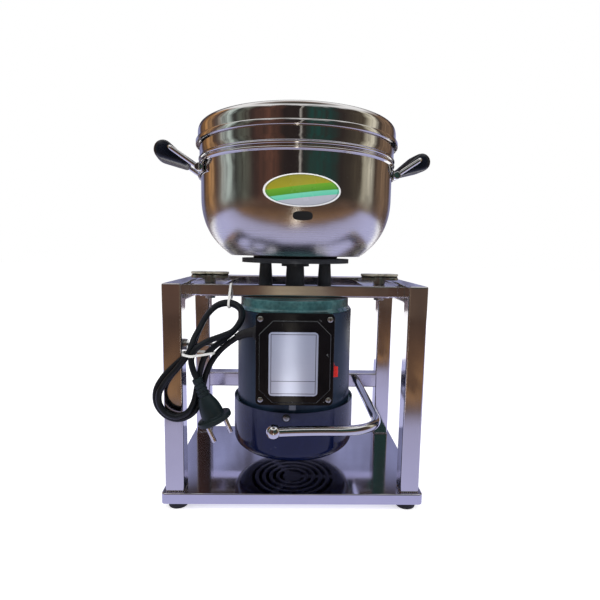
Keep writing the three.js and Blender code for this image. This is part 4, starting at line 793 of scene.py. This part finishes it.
def make_plug():
    """The plug: ribbed sleeve, rounded body and round flange, with two bright pins."""
    section = [(0, 0), (4.4, 0), (5.0, 0.5)]
    for rib in range(4):
        level, radius = 2.4 + rib * 4.4, 5.15 + rib * 0.36
        section += [(radius, level), (radius, level + 2.4), (radius - 0.8, level + 2.7), (radius - 0.8, level + 3.9)]
    section += bend(((6.6, 20), (8.2, 25), (11.3, 30), (11.5, 41)), 12)
    section += bend(((12.2, 42), (15.0, 42.2), (17.4, 42.2), (17.5, 43.8)), 6)
    section += [(17.5, 46.6), (17.1, 47.6), (16.2, 48), (0, 48)]
    form = turned(softened(section, 0.3, 2, closed=False), SMALL_STEPS * 2, closed=False)
    bmesh.ops.transform(form, matrix=PLUG_PLACE, verts=form.verts)
    pieces = [finish_piece("mains_plug_body", form, "plug_black", "mains_plug", 40.0)]
    for name, side in (("mains_plug_pin_1", -1), ("mains_plug_pin_2", 1)):
        tip = softened([(0, 47), (2.4, 47), (2.4, 67), (0, 67)], 1.2, 4, closed=False)
        form = turned(tip, SMALL_STEPS // 2, closed=False)
        reach = Vector((math.cos(PLUG_SPIN), math.sin(PLUG_SPIN), 0)) * side * PIN_APART / 2 * MM
        bmesh.ops.transform(form, matrix=PLUG_PLACE @ Matrix.Translation(reach), verts=form.verts)
        pieces.append(finish_piece(name, form, "bright_chrome", crease=50.0))
    return pieces


gland = make_gland()
plug_pieces = make_plug()
tie_pieces = [dressed("hank_tie_" + place, "tie_white", 0.15, 2) for place in ("waist", "rail")]

# ---------------------------------------------------------------- stand

TUBE_ROUND = 1.8
TUBE_WIDTH = 20
STAND_INSIDE = 117
STAND_ENDS = (("front", -83), ("back", 75))
TRAY_TOP = 20
STAND_TOP = 245


def tube(node, low, high, finish, along=None, corner=TUBE_ROUND, ending="_tube"):
    """One square tube or bar between two corners in mm."""
    finish_piece(node + ending, block(low, high, corner, along), finish, node, flats=True)


def make_stand():
    """Four legs, and the rails and bars between them."""
    (_, front), (_, back) = STAND_ENDS
    rail = STAND_TOP - TUBE_WIDTH
    for side, x in (("left", -STAND_INSIDE - TUBE_WIDTH), ("right", STAND_INSIDE)):
        for end, y in STAND_ENDS:
            tube("leg_%s_%s" % (end, side), (x, y, TRAY_TOP), (x + TUBE_WIDTH, y + TUBE_WIDTH, STAND_TOP),
                 "polished_steel")
        tube("side_rail_" + side, (x, front + TUBE_WIDTH, rail), (x + TUBE_WIDTH, back, STAND_TOP),
             "polished_side", 1)
    for side, _ in SIDES:
        dressed("motor_bar_" + side, "polished_side", 0.5, 3)
    tube("front_rail", (-STAND_INSIDE, -33.6, 228.3), (STAND_INSIDE, -20.6, 240.8), "polished_rail", 0, 1.1, "_bar")
    tube("back_top_rail", (-STAND_INSIDE, back, rail), (STAND_INSIDE, back + TUBE_WIDTH, STAND_TOP),
         "polished_rail", 0)
    dressed("back_mid_rail", "polished_rail", 0.6, 3)
    dressed("motor_mount_plate", "polished_rail", 0.3, 2)


def weld_bead(name, spots, radius, seed):
    """A run of overlapping weld ripples along a joint."""
    form = bmesh.new()
    for number, spot in enumerate(spots):
        wobble = 0.75 + 0.25 * math.sin(number * 2.4 + seed)
        bmesh.ops.create_icosphere(form, subdivisions=2, radius=radius * wobble * MM,
                                   matrix=Matrix.Translation(Vector(spot) * MM))
    bmesh.ops.recalc_face_normals(form, faces=form.faces)
    finish_piece(name, form, "weld", crease=80.0)


def make_welds():
    """Small weld beads at the feet of the legs and where the rails meet the legs."""
    for side, sign in SIDES:
        inner, width = STAND_INSIDE * sign, TUBE_WIDTH * sign
        for end, front in STAND_ENDS:
            level = TRAY_TOP + 0.15
            run = [(inner + width * (0.08 + 0.105 * step), front, level) for step in range(9)]
            run += [(inner, front + TUBE_WIDTH * (0.12 + 0.12 * step), level) for step in range(7)]
            weld_bead("foot_weld_%s_%s" % (end, side), run, 0.9, len(end) + sign)
        x = inner + 0.05 * sign
        run = [(x, -33.6 + step * 1.45, 240.75) for step in range(9)]
        run += [(x, -33.65, 229.4 + step * 1.5) for step in range(8)]
        weld_bead("front_rail_weld_" + side, run, 0.7, 3 + sign)
        weld_bead("back_rail_weld_" + side, [(inner, 75.1, 227.0 + step * 1.9) for step in range(9)], 0.8, 7 + sign)


TRAY_WALL = 1.2


def make_tray():
    """The folded tray under the legs, open below, with rolled top edges."""
    form = block((-141, -87, 8.5), (141, 99, TRAY_TOP), 5.0, along=2, steps=6)
    top_edges = edges_at(form, 2, TRAY_TOP)
    bmesh.ops.delete(form, geom=[face for face in form.faces if face.normal.z < -0.9], context="FACES")
    bevelled(form, top_edges, 1.3, 4)
    tray = finish_piece("base_tray_sheet", form, "tray_steel", "base_tray", 40.0)
    give(tray.modifiers.new("sheet_thickness", "SOLIDIFY"), thickness=TRAY_WALL * MM, offset=-1.0)
    tray.modifiers.new("even_flats", "WEIGHTED_NORMAL").keep_sharp = True


FOOT_SECTION = ((3.2, 1.6), (5.4, 1.6), (5.4, 0), (10.5, 0), (12, 16.2), (12, 18.7), (0, 18.7), (0, 6), (3.2, 6))


def make_feet():
    """Four tapered rubber feet with a recessed underside."""
    for side, sign in SIDES:
        for end, y in (("front", -71.8), ("back", 83.8)):
            node = "rubber_foot_%s_%s" % (end, side)
            form = turned(softened(FOOT_SECTION, 0.7), SMALL_STEPS, (125.8 * sign, y))
            finish_piece(node + "_moulding", form, "black_rubber", node, 40.0)


WING_UNDERSIDE = 249.3
WING_DEEPENED = 246.2
WING_WAIST = 250.2
WING_GROOVE = 1.5
WING_LIP = 0.9
WING_ROUND = 0.45
GROOVE_FLOOR = 0.3


def make_wing_nut(side):
    """A flat two-lobed nut with deep lobes and a groove round its rim, its sloped groove faces painted near-black as
    painted shade.
    """
    form = from_node("wing_nut_" + side)
    for vert in form.verts:
        if abs(vert.co.z - WING_UNDERSIDE * MM) < 0.05 * MM:
            vert.co.z = WING_DEEPENED * MM
    for level in (WING_WAIST + WING_LIP, WING_WAIST - WING_LIP, WING_WAIST):
        waist = bmesh.ops.bisect_plane(form, geom=form.verts[:] + form.edges[:] + form.faces[:], dist=1e-7,
                                       plane_co=(0, 0, level * MM), plane_no=(0, 0, 1))
    form.normal_update()
    for vert in [part for part in waist["geom_cut"] if isinstance(part, bmesh.types.BMVert)]:
        inward = Vector((vert.normal.x, vert.normal.y, 0))
        if inward.length > 0.5:
            vert.co -= inward.normalized() * WING_GROOVE * MM
    form.normal_update()
    for face in form.faces:
        height = face.calc_center_median().z / MM - WING_WAIST
        if height < -WING_LIP:
            face.material_index = 2
        elif height < WING_LIP and abs(face.normal.z) > GROOVE_FLOOR:
            # sloped groove faces take the near-black finish: painted shade in the groove
            face.material_index = 1
    nut = finish_piece("wing_nut_%s_forging" % side, form, "nut_steel", "wing_nut_" + side,
                       body="clamp_" + side, more=("nut_groove_painted_shade", "zinc"))
    give(nut.modifiers.new("broken_edges", "BEVEL"), width=WING_ROUND * MM, segments=3, limit_method="ANGLE",
         harden_normals=True)


make_stand()
make_welds()
make_tray()
make_feet()
for side, _ in SIDES:
    dressed("clamp_stud_" + side, "zinc", 0.25, 2)
    make_wing_nut(side)

# ---------------------------------------------------------------- motor

BARREL = [(65.2, 101.4), (68.2, 101.4), (68.2, 211.7), (65.2, 211.7)]
UPPER_SHIELD = [
    (16.3, 211.6), (21.3, 211.6), (21.3, 220.9), (59.9, 220.9), (59.9, 206.7), (64.9, 206.7), (64.9, 212),
    (68.2, 212), (64.4, 216.1), (64.4, 225.9), (8.5, 225.9), (8.5, 222.9), (16.3, 222.9)]
LOWER_SHIELD = [
    (8.5, 92.9), (71.1, 92.9), (71.1, 101.1), (64.9, 101.1), (64.9, 106.1), (59.9, 106.1), (59.9, 97.9),
    (21.3, 97.9), (21.3, 107.2), (16.3, 107.2), (16.3, 95.9), (8.5, 95.9)]
COWL_RADIUS = 72.6
COWL_WALL = 1.2
COWL_CORNER = 13.0
COWL_LEVELS = (45.6, 104.6)
SLOT_RADII = (14.0, 22.8, 31.6, 40.4, 49.2)
SLOT_WIDTH = 4.2
SPOKE_WIDTH = 7.0


def turned_piece(name, section, soft, steps, finish, node, turn_steps=TURN_STEPS, body="stand"):
    """A turned piece with its section's corners softened."""
    finish_piece(name, turned(softened(section, soft, steps), turn_steps), finish, node, body=body)


def make_cowl():
    """The fan cowl: a turned cup whose floor is rings between air slots, held by three spokes."""
    bottom, top = COWL_LEVELS
    inside = bottom + COWL_WALL
    flat_edge = COWL_RADIUS - COWL_CORNER
    first = SLOT_RADII[-1] + SLOT_WIDTH / 2
    outline = [(first, bottom), (flat_edge, bottom)]
    outline += [(flat_edge + COWL_CORNER * math.sin(turn), bottom + COWL_CORNER * (1 - math.cos(turn)))
                for turn in (math.pi / 2 * step / 14 for step in range(1, 15))]
    outline.append((COWL_RADIUS, top))
    forms = [turned(walled(outline, COWL_WALL))]
    edge = SLOT_RADII[0] - SLOT_WIDTH / 2
    forms.append(turned([(0, bottom), (edge, bottom), (edge, inside), (0, inside)], closed=False))
    for inner, outer in zip(SLOT_RADII, SLOT_RADII[1:]):
        inner, outer = inner + SLOT_WIDTH / 2, outer - SLOT_WIDTH / 2
        forms.append(turned(softened([(inner, bottom), (outer, bottom), (outer, inside), (inner, inside)], 0.25, 2)))
    for spoke in range(3):
        bar = block((11.0, -SPOKE_WIDTH / 2, bottom + 0.02), (first + 2.0, SPOKE_WIDTH / 2, inside - 0.02))
        forms.append(turn_form(bar, math.tau * spoke / 3))
    finish_piece("fan_cowl_cup", joined(*forms), "cowl_paint", "fan_cowl", 35.0)


def cover_panel(name, low, high, corner, steps, rim, segments, finish, node, crease=40.0):
    """One panel on the box's front: its outline's corners cut, its front rim rounded."""
    form = block(low, high, corner, along=1, steps=steps)
    bevelled(form, edges_at(form, 1, low[1]), rim, segments)
    finish_piece(name, set_normals(form), finish, node, crease, True)


def make_terminal_box():
    """The black box, its raised eight-sided cover, the plate, screws, tab and red switch."""
    dressed("terminal_box", "gloss_black", 0.5, 3)
    cover_panel("terminal_box_cover_flange", (-40, -94.3, 121.3), (40, -91.3, 217.3), 5.0, 8, 0.8, 3,
                "cover_black", "terminal_box_cover")
    cover_panel("terminal_box_cover_panel", (-36.5, -97.3, 124.45), (36.5, -94.1, 209.95), 14.0, 1, 1.6, 3,
                "cover_black", None, 28.0)
    cover_panel("rating_plate_blank", (-26.5, -98.3, 132.7), (23.5, -97.5, 198.7), 4.0, 6, 0.2, 2,
                "rating_plate", "rating_plate")
    for number, (x, z) in enumerate(((-35.2, 211.2), (35.2, 211.2), (-35.0, 127.4), (35.0, 127.4))):
        set_screw("cover_screw_%d" % (number + 1), (x, -94.2, z), (0, -1, 0), (2.9, 1.5, 0.6), "zinc")
    finish_piece("cover_tab", block((-5.4, -95.4, 116.4), (1.8, -92.6, 121.7), 0.8, steps=3), "tab_grey",
                 crease=40.0, flats=True)
    way = (-0.11, -1, 0)
    set_screw("cowl_screw_washer", (-8.0, -71.9, 99.2), way, (4.5, 0.9, 0), "black_rubber")
    set_screw("cowl_screw", (-8.08, -72.6, 99.2), way, (3.5, 1.9, 0.7), "zinc")
    dressed("switch_body", "gloss_black", 0.4, 3)
    dressed("rocker_switch", "switch_red", 0.5, 3, body="rocker")


turned_piece("motor_barrel_shell", BARREL, 0.6, 3, "motor_paint", "motor_barrel")
turned_piece("upper_end_shield_casting", UPPER_SHIELD, 1.4, 4, "hammered_paint", "upper_end_shield")
turned_piece("lower_end_shield_casting", LOWER_SHIELD, 0.7, 3, "hammered_paint", "lower_end_shield")
make_cowl()
make_terminal_box()

# ---------------------------------------------------------------- swing handle and peg

ROD_LEVEL = 98.4


def make_swing_handle():
    """The bent bright rod with a ball on its free end."""
    corner, last, ball = (Vector((x, y, ROD_LEVEL)) for x, y in ((90, -64.5), (42, -103.5), (-20.5, -107.5)))
    rod_end = last.lerp(ball, 58.75 / 62.5)
    route = [Vector((90, 92, ROD_LEVEL)), corner]
    route += bend((corner, (90, -103.5, ROD_LEVEL), last), 18)[1:]
    route += bend((last, last + Vector((-30, 0, 0)), rod_end), 8)[1:]
    finish_piece("swing_handle_rod", wire_form(route, 5.1, 14), "bright_chrome", "swing_handle", 50.0,
                 body="handle")
    form = bmesh.new()
    bmesh.ops.create_uvsphere(form, u_segments=48, v_segments=32, radius=7.5 * MM,
                              matrix=Matrix.Translation(ball * MM))
    finish_piece("handle_ball_end", form, "bright_chrome", "handle_ball", 60.0, body="handle")


make_swing_handle()
dressed("cord_peg", "zinc", 0.2, 2)

# ---------------------------------------------------------------- spider, gasket and seal

dressed("grinder_spider", "dark_cast_iron", 0.7, 3, 35.0)
turned_piece("pot_gasket_ring", [(14.3, 271.3), (50, 271.3), (50, 273.6), (14.3, 273.6)], 0.5, 3,
             "black_rubber", "pot_gasket")
turned_piece("shaft_seal_ring", [(8.6, 277.8), (14, 277.8), (14, 282.2), (8.6, 282.2)], 0.6, 3,
             "black_rubber", "shaft_seal", SMALL_STEPS)

# ---------------------------------------------------------------- pot, lid and handles

POT_WALL = 1.2
POT_RIM = [(111.0, 395.1), (112.4, 395.1), (113.0, 396.2), (113.0, 397.9), (112.4, 398.5), (109.8, 398.5),
           (109.8, 395.1)]
POT_BEADS = (((109.7, 372.9), (110.4, 373.5), (112.3, 373.6), (112.3, 375.15)),
             ((112.3, 375.2), (112.3, 376.7), (110.5, 376.7), (110.46, 377.5)),
             ((110.47, 377.6), (110.5, 378.3), (112.3, 378.4), (112.3, 379.85)),
             ((112.3, 379.9), (112.3, 381.3), (111.1, 381.4), (111.0, 382.3)))
LID_WALL = 1.0
LID_LIP = [(115.0, 395.4), (115.0, 399.2), (114.6, 399.8), (113.3, 399.9), (112.7, 400.5), (112.6, 402)]
LID_LIP_INSIDE = 114.0


def make_pot():
    """The pot: base, belly, two rolled beads and a rolled rim, in sheet of even wall."""
    outline = [(14.3, 273.9), (40, 273.9)]
    outline += bend(((75.8, 273.9), (95, 287), (109.6, 306), (109.6, 338)), 40)
    outline += [(109.6, 360), (109.6, 372.4)]
    for bead in POT_BEADS:
        outline += bend(bead, 6)
    outline += [(111.0, 388), (111.0, 394.6)]
    inner = walled(outline, POT_WALL)[len(outline):]
    form = turned(outline + softened(POT_RIM, 0.6, 3, closed=False) + inner)
    finish_piece("pot_shell", form, "pot_steel", "pot", 40.0)


def make_lid():
    """The lid: rolled lip, straight skirt, soft shoulder and a slightly crowned top, with its knob."""
    outline = LID_LIP + bend(((112.6, 407), (112.6, 416), (108.5, 417.9), (102, 418.9)), 24)
    outline += bend(((101.5, 419.0), (96, 420.0), (92, 422.1), (88, 423.4)), 10)
    outline += [(radius, 434 - 10.6 * (radius / 88) ** 2) for radius in range(80, 0, -8)]
    outline.append((2.8, 434.0))
    inner = [(min(radius, LID_LIP_INSIDE), level) for radius, level in walled(outline, LID_WALL)[len(outline):]]
    finish_piece("lid_shell", turned(outline + inner), "lid_steel", "lid", 40.0, body="lid")
    knob = [(0.0, 428.3), (2.7, 428.3), (2.7, 434.25), (8.0, 434.3)]
    knob += bend(((8.0, 434.8), (6.2, 436.2), (5.6, 438.4), (6.4, 440.3)), 8)
    knob += bend(((7.0, 440.6), (11.0, 440.8), (16.0, 440.9), (17.0, 441.9)), 8)
    knob += bend(((17.0, 444.0), (16.6, 445.4), (14.6, 446.3), (12.8, 446.3)), 6)
    knob += [(4.2, 446.3), (3.8, 445.7), (0.0, 445.7)]
    finish_piece("lid_knob_moulding", turned(knob, SMALL_STEPS * 2, closed=False), "grip_black", "lid_knob", 40.0,
                 body="lid")


HANDLE_TURN = math.radians(8)
LUG = (110.55, 30, 366.8)
WIRE_OUT = (141, 30, 387)
STRAP_SECTION = ((110.5, 361.3), (112.4, 361.3), (112.4, 372.2), (110.5, 372.2))
STRAP_SPREAD = math.asin(35 / 111)
RIVET_ANGLE = math.radians(5.5)


def bent_route(points, corner, steps=10):
    """A route with each inner corner bent over the given distance in mm."""
    points = [Vector(point) for point in points]
    route = [points[0]]
    for before, here, after in zip(points, points[1:], points[2:]):
        route += bend((here + (before - here).normalized() * corner, here,
                       here + (after - here).normalized() * corner), steps)
    return route + [points[-1]]


def make_bail(side, turn):
    """A handle's strap with its lugs and rivets, and the wire that carries the grip."""
    lugs = bmesh.new()
    for y in (-LUG[1], LUG[1]):
        place = Matrix.Translation(Vector((LUG[0], y, LUG[2])) * MM) @ Matrix.Rotation(math.pi / 2, 4, "X")
        bmesh.ops.create_cone(lugs, cap_ends=True, segments=32, radius1=4.3 * MM, radius2=4.3 * MM,
                              depth=11.6 * MM, matrix=place)
    bevelled(lugs, sharp_edges(lugs, 60), 0.8, 3)
    (lug_x, y, lug_z), (out_x, y, out_z) = LUG, WIRE_OUT
    route = bent_route([(lug_x, -y, lug_z), (out_x, -y, out_z), WIRE_OUT, LUG], 6)
    form = turn_form(joined(lugs, wire_form(route, 2.6, 8)), turn)
    bmesh.ops.recalc_face_normals(form, faces=form.faces)
    finish_piece("handle_bail_%s_wire" % side, form, "bright_chrome", "handle_bail_" + side, 50.0)
    strap = bmesh.new()
    start = Vector((math.cos(-STRAP_SPREAD), math.sin(-STRAP_SPREAD), 0))
    face = strap.faces.new([strap.verts.new((start * radius + Vector((0, 0, level))) * MM)
                            for radius, level in STRAP_SECTION])
    spin(strap, [face], 24, angle=2 * STRAP_SPREAD)
    set_normals(strap)
    bevelled(strap, sharp_edges(strap, 50), 0.5, 2)
    finish_piece("handle_strap_" + side, turn_form(strap, turn), "bright_chrome", crease=40.0)
    for number, sign in enumerate((-1, 1)):
        angle = sign * RIVET_ANGLE + turn
        way = Vector((math.cos(angle), math.sin(angle), 0))
        set_screw("strap_rivet_%s_%d" % (side, number + 1), way * 112.3 + Vector((0, 0, LUG[2])), way,
                  (2.6, 1.2, 0), "bright_chrome", crease=50.0)


GRIP_LENGTH = 47.0
GRIP_ROUNDS = ((Vector((8.0, 0.0)), 10.5), (Vector((-15.0, -12.0)), 4.6))
GRIP_HALF = ((0.25, 1.0), (0.50, 0.99), (0.68, 0.95), (0.80, 0.89), (0.88, 0.81), (0.94, 0.71), (0.975, 0.60),
             (0.995, 0.46), (1.0, 0.34))
GRIP_STATIONS = [(-along, size) for along, size in GRIP_HALF[::-1]] + [(0.0, 1.0)] + list(GRIP_HALF)
GRIP_STEPS = 18


def grip_outline():
    """The grip's cross-section: a belt round a large outer round and a small inner one."""
    (outer, large), (inner, small) = GRIP_ROUNDS
    run = inner - outer
    lean = math.atan2(run.y, run.x)
    spread_angle = math.acos((large - small) / run.length)
    points = []
    for middle, radius, start, sweep in ((outer, large, lean + spread_angle, math.tau - 2 * spread_angle),
                                         (inner, small, lean - spread_angle, 2 * spread_angle)):
        for turn in (start + sweep * step / GRIP_STEPS for step in range(GRIP_STEPS + 1)):
            points.append(middle + Vector((math.cos(turn), math.sin(turn))) * radius)
    return points


def make_grip(side, turn):
    """A moulded grip: a full round at its outer edge, tapering in and down, with rounded ends."""
    outline = grip_outline()
    middle = sum(outline, Vector((0, 0))) / len(outline)
    form = bmesh.new()
    loops = []
    for along, size in GRIP_STATIONS:
        spots = [middle + (point - middle) * size for point in outline]
        ring = [form.verts.new(Vector((WIRE_OUT[0] + spot.x, along * GRIP_LENGTH / 2, WIRE_OUT[2] + spot.y)) * MM)
                for spot in spots]
        loops.append([form.edges.new(pair) for pair in zip(ring, ring[1:] + ring[:1])])
    form = turn_form(lofted(form, loops), turn)
    finish_piece("handle_grip_%s_moulding" % side, form, "grip_black", "handle_grip_" + side, 50.0)


make_pot()
make_lid()
for side, turn in (("left", HANDLE_TURN + math.pi), ("right", HANDLE_TURN)):
    make_bail(side, turn)
    make_grip(side, turn)

# ---------------------------------------------------------------- labels on the pot


def wrapped_label(name, width, height, across, level, radius, thickness, finish, power):
    """A thin label bent round the pot: a grid drawn to an oval or a pill and wrapped."""
    form = bmesh.new()
    bmesh.ops.create_grid(form, x_segments=48, y_segments=24, size=1.0)
    for vert in form.verts:
        u, v = vert.co.x, vert.co.y
        reach = (abs(u) ** power + abs(v) ** power) ** (1 / power)
        scale = max(abs(u), abs(v)) / reach if reach else 0
        angle = (u * scale * width / 2 + across) / radius
        up = v * scale * height / 2 + level
        vert.co = Vector((math.sin(angle) * radius, -math.cos(angle) * radius, up)) * MM
    for face in form.faces:
        if face.calc_center_median().dot(face.normal) < 0:
            face.normal_flip()
    piece = finish_piece(name, form, finish, crease=60.0)
    give(piece.modifiers.new("film", "SOLIDIFY"), thickness=thickness * MM, offset=1.0)


wrapped_label("oval_label", *OVAL_SIZE, *OVAL_PLACE, 109.55, 0.25, "oval_label", 2.0)
wrapped_label("size_mark", 19, 8.4, 5.5, 312.8, 107.3, 0.3, "label_black", 3.0)

# ---------------------------------------------------------------- blades, and inner nodes that keep their form

turned_piece("blade_hub_boss", [(6.3, 283), (12, 283), (12, 289), (6.3, 289)], 0.5, 3, "zinc", "blade_hub",
             SMALL_STEPS, "rotor")
dressed("lower_blade", "brushed_steel", 0.5, 2, body="rotor")
dressed("upper_blade", "brushed_steel", 0.5, 2, body="rotor")
dressed("blade_nut", "zinc", 0.6, 3, body="rotor")

INNER = {
    "bare_steel": ("motor_shaft", "motor_rotor", "upper_bearing", "lower_bearing"),
    "winding_copper": ("motor_stator",),
    "fan_plastic": ("cooling_fan",),
    "capacitor_white": ("run_capacitor",),
}
for finish_name, nodes in INNER.items():
    for node_name in nodes:
        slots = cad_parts[node_name].data.materials
        slots.clear()
        slots.append(FINISH[finish_name])

# ---------------------------------------------------------------- floor, backdrop and light

WHITE = (1, 1, 1)
FLOOR_GLOW = 0.52
FLOOR_DROP = -0.0004
SOFT_LEVEL = 0.55
GLOSSY_SHARE = 0.92


def lit_floor():
    """A pale floor that shows white to the camera and to reflections, and keeps the shadow."""
    form = bmesh.new()
    bmesh.ops.create_circle(form, cap_ends=True, radius=9.0, segments=64)
    material, tree, skin = start_finish("pale_studio_floor", Roughness=0.8, Base_Color=(0.90, 0.90, 0.92),
                                        Specular_IOR_Level=0.0, Emission_Color=WHITE)
    rays = lay(tree, "LightPath")
    seen = rays["Is Camera Ray"].or_more(rays["Is Glossy Ray"]).or_more(rays["Is Transmission Ray"])
    feed(skin["Emission Strength"], seen * FLOOR_GLOW)
    floor = put("studio_floor", to_mesh("studio_floor", form, material))
    floor.location.z = FLOOR_DROP


def studio_world():
    """White to the camera, glossy and transmission rays; a plain soft level for diffuse light."""
    world = bpy.data.worlds.new("studio_world")
    world.use_nodes = True
    back = world.node_tree.nodes["Background"].inputs
    rays = lay(world.node_tree, "LightPath")
    seen = rays["Is Camera Ray"].or_more(rays["Is Transmission Ray"]).or_more(rays["Is Glossy Ray"] * GLOSSY_SHARE)
    feed(back["Color"], WHITE)
    feed(back["Strength"], seen * (1 - SOFT_LEVEL) + SOFT_LEVEL)
    bpy.context.scene.world = world


LAMP_AIM = Vector((0, 0, 0.2))


def soft_lamp(name, place, size, power, colour):
    """A square soft box aimed at the motor, not mirrored in the steel."""
    data = give(bpy.data.lights.new(name, "AREA"), size=size, energy=power, color=colour)
    aim = (LAMP_AIM - Vector(place)).to_track_quat("-Z", "Y").to_euler()
    give(put(name, data), location=place, rotation_euler=aim, visible_camera=False, visible_glossy=False)


def open_glow(name):
    """A material for a card of light; returns it and its object coordinates."""
    material = bpy.data.materials.new(name)
    material.use_nodes = True
    tree = material.node_tree
    tree.nodes.remove(tree.nodes["Principled BSDF"])
    return material, coordinates(tree)


def hang_card(name, form, material, colour, strength, clear):
    """Makes a card glow, clear where asked, and lets only reflections see it."""
    tree = material.node_tree
    shown = lay(tree, "Emission", colour, strength)[0]
    if clear:
        shown = lay(tree, "MixShader", clear, shown, lay(tree, "BsdfTransparent")[0])[0]
    feed(tree.nodes["Material Output"].inputs["Surface"], shown)
    card = put(name, to_mesh(name, form, material))
    for ray in ("camera", "diffuse", "transmission", "shadow", "volume_scatter"):
        setattr(card, "visible_" + ray, False)


ROOM_COLOURS = [
    (-180, (0.42, 0.45, 0.72)), (-143, (0.38, 0.40, 0.66)), (-136, (0.08, 0.05, 0.04)), (-124, (0.50, 0.25, 0.09)),
    (-110, (0.72, 0.40, 0.18)), (-102, (0.14, 0.08, 0.06)), (-92, (0.34, 0.30, 0.25)), (-86, (0.82, 0.92, 0.86)),
    (-77, (0.66, 0.78, 0.72)), (-71, (0.05, 0.06, 0.055)), (-60, (0.17, 0.19, 0.15)), (-47, (0.06, 0.035, 0.03)),
    (-28, (0.17, 0.075, 0.05)), (-14, (0.02, 0.015, 0.015)), (3.0, (0.015, 0.012, 0.012)),
    (4.0, (0.90, 0.86, 0.78)), (5.0, (0.90, 0.86, 0.78)), (6.0, (0.015, 0.012, 0.012)), (17, (0.012, 0.080, 0.066)),
    (38, (0.012, 0.055, 0.048)), (50, (0.035, 0.03, 0.025)), (74, (0.11, 0.09, 0.06)), (82, (0.80, 0.75, 0.58)),
    (92, (0.92, 0.87, 0.70)), (99, (0.10, 0.07, 0.05)), (116, (0.36, 0.23, 0.14)), (137, (0.16, 0.10, 0.07)),
    (146, (0.38, 0.40, 0.66)), (180, (0.42, 0.45, 0.72))]
ROOM_RADIUS = 1.6
ROOM_HEIGHT = 2.3
ROOM_FADE = 0.7
SKIRTING_TOP = 0.34
DIM_BACK_BEARING = math.radians(136)
DIM_BACK_LEVEL = 0.83
GLINT_BEARING = math.radians(0.5)
GLINT_SPREAD = math.radians(5.5)


def room_wall():
    """One round wall of soft room colours for the steel to reflect, fading out at its top."""
    wall = ROOM_RADIUS / MM
    form = turned([(wall, 0), (wall, ROOM_HEIGHT / MM)], 96, closed=False)
    material, place = open_glow("room_wall_glow")
    x, y, z = split(place)
    cloud = noise(place, 1.6, 4.0)
    bearing = x.calc("ARCTAN2", x, y * -1.0)
    turn = bearing / math.tau + 0.5 + (cloud - 0.5) * 0.05
    colour = ramp(turn, [(degrees / 360 + 0.5, shade) for degrees, shade in ROOM_COLOURS])
    colour = mix(cloud * 0.6, colour, (0.03, 0.02, 0.02))
    skirting = spread(z, SKIRTING_TOP, SKIRTING_TOP / 3)
    colour = mix((skirting * (cloud + 0.25)).clamped(), colour, (0.16, 0.095, 0.065))
    beside = (bearing - GLINT_BEARING) / GLINT_SPREAD
    glint = (1.0 - beside * beside).clamped() * skirting
    colour = mix(glint * 0.9, colour, (0.62, 0.52, 0.34))
    behind = ((abs(bearing) - DIM_BACK_BEARING) * 6.0).clamped()
    above = ((z - DIM_BACK_LEVEL) * 9.0 + (cloud - 0.5)).clamped()
    colour = mix(behind * above, colour, (0.045, 0.035, 0.034))
    strips = noise(lay(place.tree, "CombineXYZ", bearing * 9.0, z * 1.6)[0], 1.0, 5.0, 0.65)
    colour = mix(((0.60 - strips) * 3.0).clamped(), colour, (0.03, 0.022, 0.02))
    clear = spread(z + (cloud - 0.5) * 1.2, ROOM_HEIGHT - ROOM_FADE, ROOM_HEIGHT)
    hang_card("room_wall", form, material, colour, 1.2, clear)


def flat_card(name, low, high, level, stops, strength=1.0, soft=False, patchy=3.2):
    """A level card, banded from front to back and patched in front; a soft one fades out at its sides."""
    low, high = Vector(low), Vector(high)
    middle, half = (high + low) / 2, (high - low) / 2
    form = bmesh.new()
    bmesh.ops.create_grid(form, x_segments=1, y_segments=1, size=1.0)
    bmesh.ops.scale(form, vec=(*half, 1), verts=form.verts)
    bmesh.ops.translate(form, vec=(*middle, level), verts=form.verts)
    material, place = open_glow(name + "_glow")
    x, y, _ = split(place)
    sway = (noise(place, 3.5, 4.0) - 0.5) * 0.10
    depth = (y + 1.6) / 2.2 + sway
    patch = noise(lay(place.tree, "Mapping", place, Scale=(20.0, 4.5, 1.0))[0], 1.0, 5.0, 0.6)
    shade = ((patch - 0.46) * patchy).clamped() * spread(y, -0.36, -0.50)
    colour = mix(shade, ramp(depth, stops), (0.07, 0.04, 0.03))
    clear = None
    if soft:
        across, along = (x - middle.x) / half.x, (y - middle.y) / half.y
        clear = ((across * across + along * along + sway * 6.0 - 0.15) * 1.2).clamped()
    hang_card(name, form, material, colour, strength, clear)


lit_floor()
studio_world()
soft_lamp("key_box", (-0.9, -1.3, 1.5), 0.9, 16, (1.0, 0.99, 0.97))
soft_lamp("fill_box", (1.2, -0.9, 0.9), 0.8, 7, (0.97, 0.98, 1.0))
soft_lamp("back_box", (0.3, 1.3, 1.3), 0.9, 8, WHITE)
room_wall()
flat_card("floor_card", (-1.6, -1.6), (1.6, 0.6), 0.0005, [
    (0.0, (0.05, 0.032, 0.026)), (0.20, (0.11, 0.066, 0.045)), (0.38, (0.19, 0.105, 0.058)),
    (0.51, (0.36, 0.20, 0.095)), (0.55, (0.16, 0.12, 0.11)), (0.585, (0.44, 0.43, 0.62)),
    (0.75, (0.56, 0.56, 0.85)), (1.0, (0.50, 0.52, 0.82))], patchy=8.0)
flat_card("bright_strip_card", (-0.022, -1.6), (0.012, -0.36), 0.0010, [
    (0.0, (0.90, 0.84, 0.72)), (0.50, (0.80, 0.72, 0.58)), (0.62, (0.60, 0.58, 0.72))], 3.0)
flat_card("ceiling_card", (-1.2, -1.5), (1.2, 0.6), 2.2, [
    (0.0, (0.10, 0.06, 0.05)), (0.40, (0.03, 0.05, 0.045)), (0.72, (0.20, 0.13, 0.10))], soft=True)
